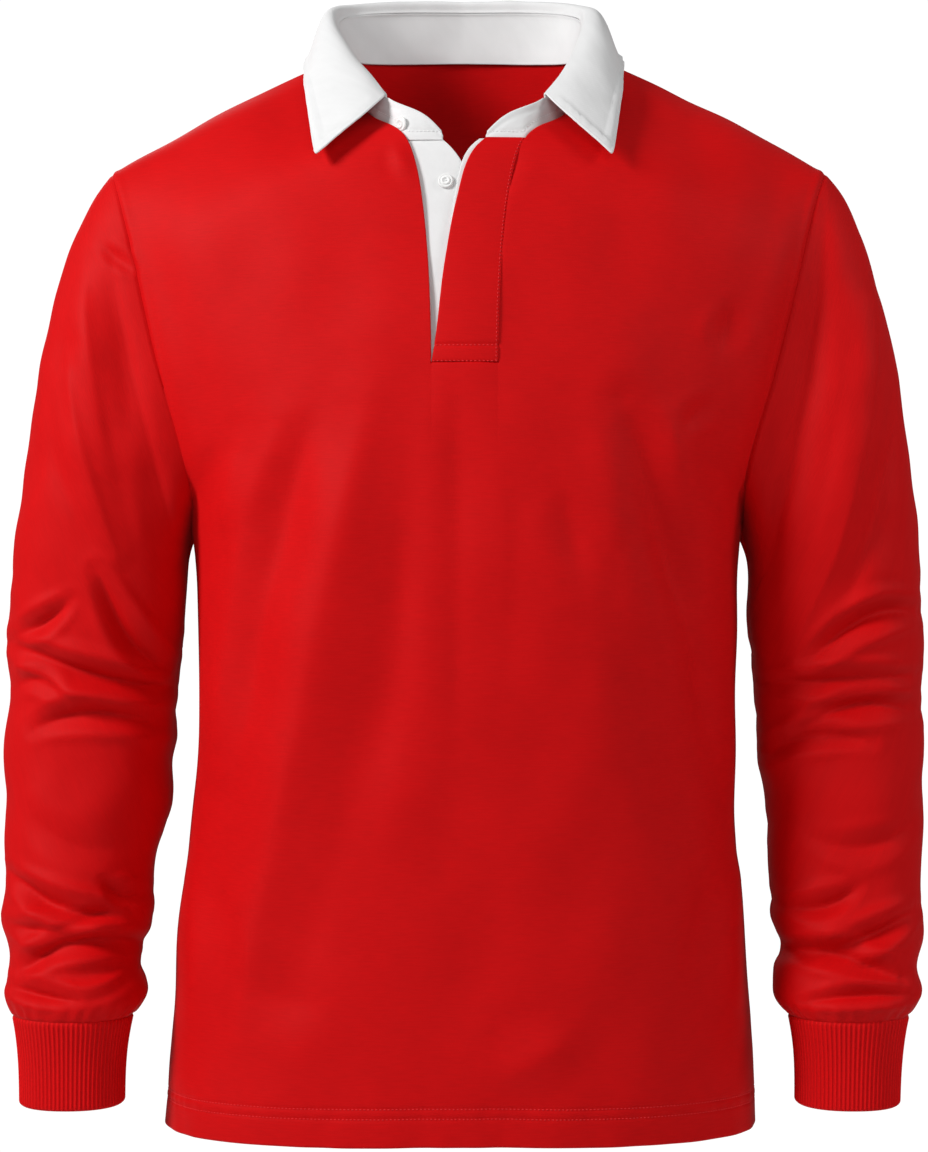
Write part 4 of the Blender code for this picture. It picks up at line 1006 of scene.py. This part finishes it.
def leaf_cloth(line, panels, fitted):
    """The leaf: up the neck side from its seam, over the fold, and down to lie on the panels."""
    close = [d / RUN_LENGTH for d in EDGE_CLOSE]
    run = stops(0, LEAF_RUN, STEP / RUN_LENGTH, close_end=close)
    t = stops(0, 1, 0.0026 / LEAF_HEIGHT, close_start=[d / LEAF_HEIGHT for d in FOLD_CLOSE],
              close_end=[d / LEAF_HEIGHT for d in EDGE_CLOSE])
    inner = stops(0, 1, 0.14, close_start=(0.06,))[:-1]
    t, run = np.meshgrid(t, run, indexing="ij")
    p = np.clip(1 - (LEAF_RUN - run) * TIP_ALONG / TIP_RADIUS, 0, 1)
    q = np.clip(1 - (1 - t) * TIP_DOWN / TIP_RADIUS, 0, 1)
    run = run - (p - p * np.sqrt(1 - q * q / 2)) * TIP_RADIUS / TIP_ALONG
    t = t - (q - q * np.sqrt(1 - p * p / 2)) * TIP_RADIUS / TIP_DOWN
    station = read(COLLAR[:LEAF_STATIONS], run)
    top, roll, edge = (columns_of(station, name) for name in ("top", "roll", "edge"))
    t = t[..., None]
    outer = [(1 - t) ** 2 * top, 2 * t * (1 - t) * roll, t**2 * edge]
    runs = both_sides(np.repeat(run[..., None], 3, axis=2))[..., 0]
    shift = fold_shift(np.abs(runs))
    leaned = [leaning(both_sides(top)) - both_sides(top) + shift,
              leaning(both_sides(roll)) - both_sides(roll) + 0.5 * shift]
    t = np.abs(both_sides(np.repeat(t, 3, axis=2)))
    outer = both_sides(sum(outer)) + leaned[0] * (1 - t) ** 2 + leaned[1] * 2 * t * (1 - t)
    base = tucked(along_line(line, run[0]))
    seam = seam_place(run[0], base, top[0])
    neck_side = both_sides(seam + (top[0] - seam) * inner[:, None, None])
    grid = np.concatenate([leaning(neck_side) + shift[:1], outer])
    fold = len(inner)
    sharp = grid[fold].copy()
    for _ in range(5):
        near = slice(2, fold + 6)
        grid[near] = (grid[1:fold + 5] + 2 * grid[near] + grid[3:fold + 7]) / 4
    beside_fold = bell(np.arange(len(grid)) - fold, 5.0)[:, None, None]
    grid = grid + (sharp - grid[fold])[None] * beside_fold
    grid = laid_on(panels, fitted(grid), fold + 8)
    cloth = Cloth(grid)
    near_edge = np.minimum(cloth.up, np.minimum(cloth.across, cloth.back_across))
    cloth.edge = near_edge.copy()
    cloth.edge[:3] = 1.0
    sewn = ease((cloth.down - 0.012) / 0.01)
    cloth.lift += dip(cloth.down)
    cloth.lift -= 0.0016 * bell(near_edge - COLLAR_STITCH, 0.0013) * sewn
    drawn = puckers(cloth.across + cloth.down, 21, 0.0085) - 0.5
    cloth.lift += 0.0006 * drawn * bell(near_edge - COLLAR_STITCH, 0.0045) * sewn
    return cloth, near_edge


def laid_on(panels, grid, first):
    """The grid with its points moved out where they are nearer to the panels than the leaf can lie."""
    trees = [BVHTree.FromPolygons(cloth.points.tolist(), cloth.cells.tolist()) for cloth in panels]
    laid = grid.copy()
    for row in laid[first:]:
        for i, point in enumerate(row):
            for tree in trees:
                place, normal, _, distance = tree.find_nearest(Vector(point))
                height = (Vector(point) - place).dot(normal)
                if height < LEAF_CLEARANCE and distance < 0.012:
                    row[i] = row[i] + np.array(normal) * (LEAF_CLEARANCE - height)
    for _ in range(4):
        inner = slice(first - 3, -1)
        laid[inner] = (laid[first - 4:-2] + 2 * laid[inner] + laid[first - 2:]) / 4
        laid[first:, 1:-1] = (laid[first:, :-2] + 2 * laid[first:, 1:-1] + laid[first:, 2:]) / 4
    return laid


def lift_only(cloth, folds=(), uneven=0.0, seed=0):
    find_normals([cloth])
    height = cloth.lift.reshape(-1) + fold_heights(cloth.points, cloth.normals, folds)
    if uneven:
        height = height + waves(cloth.points, seed, 12, 0.06, 0.02, uneven)
    cloth.points = cloth.points + height[:, None] * cloth.normals
    find_normals([cloth])


# ---------------------------------------------------------------- buttons

def make_button(name, node, on, material):
    """A button in the place of the model's one, facing away from the cloth under it."""
    low, high = (np.array(corner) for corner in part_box(node))
    centre = (low + high) / 2
    radius = (high - low)[0] / 2
    thick = 0.0024
    tree = BVHTree.FromPolygons(on.points.tolist(), on.cells.tolist())
    place, facing, _, _ = tree.ray_cast(Vector((centre[0], -1, centre[2])), Vector((0, 1, 0)))
    if facing.y > 0:
        facing = -facing
    side = facing.orthogonal().normalized()
    up = facing.cross(side)
    side, up, facing, place = (np.array(v) for v in (side, up, facing, place))
    points = []
    for out, rise in BUTTON_PROFILE:
        for k in range(BUTTON_SIDES if out else 1):
            turn = 2 * math.pi * k / BUTTON_SIDES
            points.append(place + (side * math.cos(turn) + up * math.sin(turn)) * out * radius
                          + facing * (0.0002 + rise * thick))
    faces = []
    rings = len(BUTTON_PROFILE) - 2
    for k in range(BUTTON_SIDES):
        n = (k + 1) % BUTTON_SIDES
        faces.append((0, 1 + n, 1 + k))
        for ring in range(rings - 1):
            a = 1 + ring * BUTTON_SIDES
            faces.append((a + k, a + n, a + BUTTON_SIDES + n, a + BUTTON_SIDES + k))
        last = 1 + (rings - 1) * BUTTON_SIDES
        faces.append((last + k, last + n, len(points) - 1))
    mesh = bpy.data.meshes.new(name)
    mesh.from_pydata(np.array(points).tolist(), [], faces)
    mesh.shade_smooth()
    mesh.materials.append(material)
    made = bpy.data.objects.new(name, mesh)
    bpy.context.scene.collection.objects.link(made)
    middle = place + facing * (0.0002 + 0.66 * thick)
    bars = []
    for turn in (math.pi / 4, 3 * math.pi / 4):
        way = side * math.cos(turn) + up * math.sin(turn)
        ends = np.array([middle - way * 0.34 * radius, middle + way * 0.34 * radius])
        bars.append((np.linspace(ends[0], ends[1], 3), np.repeat(facing[None], 3, axis=0)))
    return made, bars


# ---------------------------------------------------------------- materials

def new_material(name, roughness, sheen, sheen_tint):
    made = bpy.data.materials.new(name)
    made.use_nodes = True
    nodes = made.node_tree.nodes
    shader = nodes["Principled BSDF"]
    shader.inputs["Roughness"].default_value = roughness
    shader.inputs["Metallic"].default_value = 0
    shader.inputs["Specular IOR Level"].default_value = 0.12
    shader.inputs["Sheen Weight"].default_value = sheen
    shader.inputs["Sheen Roughness"].default_value = 0.45
    shader.inputs["Sheen Tint"].default_value = (*sheen_tint, 1)
    return made, nodes, made.node_tree.links, shader


def scaled_noise(nodes, links, across, down, detail, coordinates):
    """Noise with this many features to a metre across and down the cloth."""
    mapping = nodes.new("ShaderNodeMapping")
    mapping.inputs["Scale"].default_value = (across, down, 1)
    links.new(coordinates, mapping.inputs["Vector"])
    noise = nodes.new("ShaderNodeTexNoise")
    noise.inputs["Scale"].default_value = 1
    noise.inputs["Detail"].default_value = detail
    links.new(mapping.outputs["Vector"], noise.inputs["Vector"])
    return noise.outputs["Fac"]


def two_tone(nodes, links, factor, low, high, dark, light):
    ramp = nodes.new("ShaderNodeValToRGB")
    ramp.color_ramp.elements[0].position = low
    ramp.color_ramp.elements[0].color = (*dark, 1)
    ramp.color_ramp.elements[1].position = high
    ramp.color_ramp.elements[1].color = (*light, 1)
    links.new(factor, ramp.inputs["Fac"])
    return ramp.outputs["Color"]


def bumped(nodes, links, shader, heights):
    """Chains bumps of (height, strength, distance) into the shader's normal."""
    last = None
    for height, strength, distance in heights:
        bump = nodes.new("ShaderNodeBump")
        bump.inputs["Strength"].default_value = strength
        bump.inputs["Distance"].default_value = distance
        links.new(height, bump.inputs["Height"])
        if last is not None:
            links.new(last, bump.inputs["Normal"])
        last = bump.outputs["Normal"]
    links.new(last, shader.inputs["Normal"])


def cloth_uv(nodes):
    node = nodes.new("ShaderNodeUVMap")
    node.uv_map = "cloth"
    return node.outputs["UV"]


def multiplied(nodes, links, a, b):
    mix = nodes.new("ShaderNodeMix")
    mix.data_type = "RGBA"
    mix.blend_type = "MULTIPLY"
    mix.inputs["Factor"].default_value = 1
    links.new(a, mix.inputs["A"])
    links.new(b, mix.inputs["B"])
    return mix.outputs["Result"]


def jersey(name, colour):
    made, nodes, links, shader = new_material(name, 0.66, 0.03, (1.0, 0.30, 0.28))
    uv = cloth_uv(nodes)
    slub = scaled_noise(nodes, links, 90, 1000, 2, uv)
    blotch = scaled_noise(nodes, links, 45, 60, 3, uv)
    grain = scaled_noise(nodes, links, 900, 900, 2, uv)
    light = tuple(min(1, c * 1.03) for c in colour)
    dark = tuple(c * 0.95 for c in colour)
    base = two_tone(nodes, links, slub, 0.30, 0.68, dark, light)
    shade = two_tone(nodes, links, blotch, 0.30, 0.70, (0.95, 0.94, 0.94), (1, 1, 1))
    links.new(multiplied(nodes, links, base, shade), shader.inputs["Base Color"])
    bumped(nodes, links, shader, [(slub, 0.16, 0.0004), (grain, 0.25, 0.0002)])
    return made


def rib(name, colour):
    made, nodes, links, shader = new_material(name, 0.70, 0.03, (1.0, 0.30, 0.28))
    uv = cloth_uv(nodes)
    grain = scaled_noise(nodes, links, 900, 700, 2, uv)
    light = tuple(min(1, c * 1.04) for c in colour)
    dark = tuple(c * 0.90 for c in colour)
    yarn = two_tone(nodes, links, grain, 0.30, 0.70, dark, light)
    wave = nodes.new("ShaderNodeTexWave")
    wave.wave_type = "BANDS"
    wave.bands_direction = "X"
    wave.inputs["Scale"].default_value = math.pi / 10 / RIB_PITCH
    links.new(uv, wave.inputs["Vector"])
    # Darker between the ribs, in step with the ribs' own relief: painted shade in the rib grooves
    painted_groove_shade = two_tone(nodes, links, wave.outputs["Fac"], 0.10, 0.55, (1, 1, 1), (0.80, 0.74, 0.74))
    links.new(multiplied(nodes, links, yarn, painted_groove_shade), shader.inputs["Base Color"])
    bumped(nodes, links, shader, [(grain, 0.30, 0.0003)])
    return made


def twill(name, colour):
    made, nodes, links, shader = new_material(name, 0.65, 0.08, (1, 1, 1))
    uv = cloth_uv(nodes)
    wave = nodes.new("ShaderNodeTexWave")
    wave.wave_type = "BANDS"
    wave.bands_direction = "DIAGONAL"
    wave.inputs["Scale"].default_value = 260
    wave.inputs["Distortion"].default_value = 0.6
    links.new(uv, wave.inputs["Vector"])
    blotch = scaled_noise(nodes, links, 90, 60, 2, uv)
    dark = tuple(c * 0.965 for c in colour)
    links.new(two_tone(nodes, links, blotch, 0.30, 0.70, dark, colour), shader.inputs["Base Color"])
    bumped(nodes, links, shader, [(blotch, 0.30, 0.0008), (wave.outputs["Fac"], 0.15, 0.0001)])
    return made


def plain(name, colour, roughness, size):
    """Button rubber, thread or floor: one colour, faintly uneven at the given size."""
    made, nodes, links, shader = new_material(name, roughness, 0, (1, 1, 1))
    place = nodes.new("ShaderNodeTexCoord").outputs["Object"]
    grain = scaled_noise(nodes, links, 1 / size, 1 / size, 2, place)
    dark = tuple(c * 0.96 for c in colour)
    links.new(two_tone(nodes, links, grain, 0.30, 0.70, dark, colour), shader.inputs["Base Color"])
    bumped(nodes, links, shader, [(grain, 0.1, size * 0.1)])
    return made


# ---------------------------------------------------------------- light, floor and camera

def area_light(name, place, aim, size, power_watts):
    data = bpy.data.lights.new(name, "AREA")
    data.shape = "DISK"
    data.size = size
    data.energy = power_watts
    made = bpy.data.objects.new(name, data)
    made.location = place
    made.rotation_mode = "QUATERNION"
    made.rotation_quaternion = (Vector(aim) - Vector(place)).to_track_quat("-Z", "Y")
    made.visible_camera = False
    bpy.context.scene.collection.objects.link(made)


# Lamps, each so far from the shirt's middle and aimed at it
Lamp = namedtuple("Lamp", "name away size power_watts")
LAMPS = [
    Lamp("key", (-1.9, -1.15, 1.35), 0.8, 60),
    Lamp("fill", (0.3, -2.5, 0.9), 1.5, 13),
    Lamp("side", (2.1, -0.9, 1.2), 0.8, 17),
    Lamp("back", (-0.6, 2.6, 1.5), 1.4, 16),
]
AMBIENT = 0.13          # strength of the surround's light
SURROUND = 1.05         # and how bright it is where the camera sees it
FLOOR_SIDE = 3.4        # half the floor's side
LENS_MM = 82.1
SENSOR_MM = 36
CAMERA_AWAY = 1.8       # from the shirt's origin straight forward to the camera
CAMERA_DROP = 0.3535    # and down to it


def studio(low, high):
    """Soft light from the front and the wearer's right, a pale floor, and a white surround."""
    middle = (low + high) / 2
    height = high[2] - low[2]
    bpy.context.scene.view_settings.view_transform = "Standard"
    for lamp in LAMPS:
        area_light(lamp.name, middle + Vector(lamp.away), middle, lamp.size, lamp.power_watts)
    world = bpy.data.worlds.new("surround")
    bpy.context.scene.world = world
    world.use_nodes = True
    nodes = world.node_tree.nodes
    links = world.node_tree.links
    ambient = nodes["Background"]
    ambient.inputs["Color"].default_value = (1, 1, 1, 1)
    ambient.inputs["Strength"].default_value = AMBIENT
    seen = nodes.new("ShaderNodeBackground")
    seen.inputs["Color"].default_value = (1, 1, 1, 1)
    seen.inputs["Strength"].default_value = SURROUND
    path = nodes.new("ShaderNodeLightPath")
    mix = nodes.new("ShaderNodeMixShader")
    links.new(path.outputs["Is Camera Ray"], mix.inputs["Fac"])
    links.new(ambient.outputs["Background"], mix.inputs[1])
    links.new(seen.outputs["Background"], mix.inputs[2])
    links.new(mix.outputs["Shader"], nodes["World Output"].inputs["Surface"])

    mesh = bpy.data.meshes.new("floor")
    side = FLOOR_SIDE
    drop = low[2] - height
    mesh.from_pydata([(-side, -side, drop), (side, -side, drop), (side, side, drop), (-side, side, drop)],
                     [], [(0, 1, 2, 3)])
    mesh.materials.append(plain("floor_white", (0.95, 0.95, 0.95), 0.9, 0.5))
    floor = bpy.data.objects.new("floor", mesh)
    bpy.context.scene.collection.objects.link(floor)


def camera(low, high):
    """Level with the middle of the shirt and straight in front of it."""
    data = bpy.data.cameras.new("camera")
    made = bpy.data.objects.new("camera", data)
    data.lens = LENS_MM
    data.sensor_width = SENSOR_MM
    data.clip_end = 60
    origin = frame_origin()
    made.location = origin + Vector((0, -CAMERA_AWAY, -CAMERA_DROP))
    made.rotation_euler = (math.pi / 2, 0, 0)
    bpy.context.scene.collection.objects.link(made)
    bpy.context.scene.camera = made


def frame_origin():
    """Where the wearer's neck and shoulders hold the shirt."""
    for mount in frame["record"]["mounts"]:
        if mount["name"] == "wearer_shoulders":
            return Vector(mount["pos_m"])
    return Vector((0, 0, 0))


# ---------------------------------------------------------------- putting it together

def show(piece, slot, *nodes):
    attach(piece, "root")
    if nodes:
        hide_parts(*nodes)
    return piece


def dress():
    jersey_red = jersey("jersey_red_cloth", (0.60, 0.0005, 0.0016))
    rib_red = rib("rib_red_cloth", (0.70, 0.0012, 0.0026))
    white = twill("twill_white_cloth", (0.78, 0.78, 0.78))
    rubber = plain("button_rubber", (0.86, 0.86, 0.85), 0.40, 0.002)
    thread_red = plain("thread_red", (0.74, 0.030, 0.035), 0.6, 0.001)
    thread_white = plain("thread_white", (0.90, 0.90, 0.90), 0.6, 0.001)

    front = front_half()
    back, neck_columns = back_half(front)
    loop = armhole_loop(front, back)
    cloths = {}
    cloths["front"], seam_column = front_cloth(front)
    cloths["back"] = Cloth(np.concatenate([(back * [-1, 1, 1])[:, ::-1], back[:, 1:]], axis=1))
    panel_lifts(cloths["front"], 31)
    panel_lifts(cloths["back"], 33)
    half = front.shape[1]
    for name in ("front", "back"):
        cloth = cloths[name]
        for shoulder in (slice(half), slice(-half, None)):
            cloth.lift[:, shoulder] += 0.2 * dip(cloth.down[:, shoulder])
        middle = cloth.across[:, cloth.shape[1] // 2:cloth.shape[1] // 2 + 1]
        cloth.grain_across, cloth.grain_down = cloth.across - middle, -cloth.grid()[..., 2]
    for side in ("left", "right"):
        cloths["sleeve_" + side] = sleeve_cloth(loop, side)
        cloths["cuff_" + side] = cuff_cloth(side)
    cloths["placket_overlap"] = overlap_cloth()
    cloths["placket_overlap"].grain_down = -cloths["placket_overlap"].grid()[..., 2]
    cloths["placket_facing"] = facing_cloth()
    cloths["placket_underlap"] = underlap_cloth()
    cloths["placket_facing"].lift -= JERSEY + 0.0003
    cloths["placket_underlap"].lift -= BEHIND
    folded = ("front", "back", "sleeve_left", "sleeve_right")
    displace(cloths, folded, BODY_FOLDS, SLEEVE_FOLDS)
    fitted = fit_to_frame(cloths)
    for cloth in cloths.values():
        cloth.points = fitted(cloth.points)
    white_strips = ("placket_underlap", "placket_facing")
    find_normals([cloths[name] for name in cloths if name not in white_strips])
    for name in white_strips:
        find_normals([cloths[name]])

    line = neck_run(front, back, neck_columns)
    cloths["collar_band"] = band_cloth(line, fitted)
    lift_only(cloths["collar_band"], COLLAR_FOLDS, 0.0003, 5)
    panels = [cloths["front"], cloths["back"]]
    cloths["collar_leaf"], leaf_edge = leaf_cloth(line, panels, fitted)
    lift_only(cloths["collar_leaf"], (), 0.0003, 6)

    pieces = {}
    up = {name: cloths[name].up for name in ("front", "back")}
    for name in folded:
        thick = JERSEY
        if name in up:
            thick = JERSEY + (HEM_THICK - JERSEY) * ease((HEM_TURN + NEEDLES - up[name]) / 0.003)
        pieces[name] = show(make_piece(name + "_cloth", cloths[name], thick, jersey_red), "jersey_red", name)
    for side in ("left", "right"):
        name = "cuff_" + side
        pieces[name] = show(make_piece(name + "_cloth", cloths[name], RIB, rib_red), "rib_red", name)
    name = "placket_overlap"
    pieces[name] = show(make_piece(name + "_cloth", cloths[name], JERSEY, jersey_red), "jersey_red", name)
    for name, thick in (("placket_underlap", UNDERLAP), ("collar_band", TWILL), ("collar_leaf", TWILL),
                        ("placket_facing", FACING)):
        pieces[name] = show(make_piece(name + "_cloth", cloths[name], thick, white), "twill_white", name)

    sew(cloths, pieces, seam_column, leaf_edge, thread_red, thread_white)
    neck, bars = make_button("button_neck_rubber", "button_neck", cloths["collar_band"], rubber)
    show(neck, "button_white", "button_neck")
    placket, more = make_button("button_placket_rubber", "button_placket", cloths["placket_underlap"], rubber)
    show(placket, "button_white", "button_placket")
    show(stitches("button_threads", bars + more, thread_white), "twill_white")
    return pieces


def sew(cloths, pieces, seam_column, leaf_edge, thread_red, thread_white):
    """The rows of stitches that show, each set with the piece it is on."""
    for name in ("front", "back"):
        cloth = cloths[name]
        lines = [line_at(cloth, cloth.up, row) for row in (HEM_TURN, HEM_TURN + NEEDLES)]
        pieces[name + "_stitches"] = show(stitches(name + "_stitches", lines, thread_red), "jersey_red")
    lap = cloths["placket_overlap"]
    lines = [line_at(lap, lap.across, LAP_STITCH, by_columns=False),
             line_at(lap, lap.up, FOOT_STITCH), line_at(lap, lap.up, FOOT_BOX)]
    pieces["placket_stitches"] = show(stitches("placket_stitches", lines, thread_red), "jersey_red")
    leaf = cloths["collar_leaf"]
    row = int(np.argmin(np.abs(leaf.up[:, leaf.shape[1] // 2] - COLLAR_STITCH)))
    inside = np.minimum(leaf.across, leaf.back_across)[row] >= COLLAR_STITCH
    outer = (leaf.grid()[row][inside], leaf.normal_grid()[row][inside])
    lines = [outer]
    for side in (leaf.across, leaf.back_across):
        places, normals = line_at(leaf, side, COLLAR_STITCH, by_columns=False)
        first = int(np.argmax(leaf.down[:, 0] > 0.016))
        lines.append((places[first:row + 1], normals[first:row + 1]))
    pieces["leaf_stitches"] = show(stitches("leaf_stitches", lines, thread_white), "twill_white")
    band = cloths["collar_band"]
    lines = [line_at(band, band.up, BAND_STITCH)]
    pieces["band_stitches"] = show(stitches("band_stitches", lines, thread_white), "twill_white")


pieces = dress()
low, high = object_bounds()
studio(low, high)
camera(low, high)
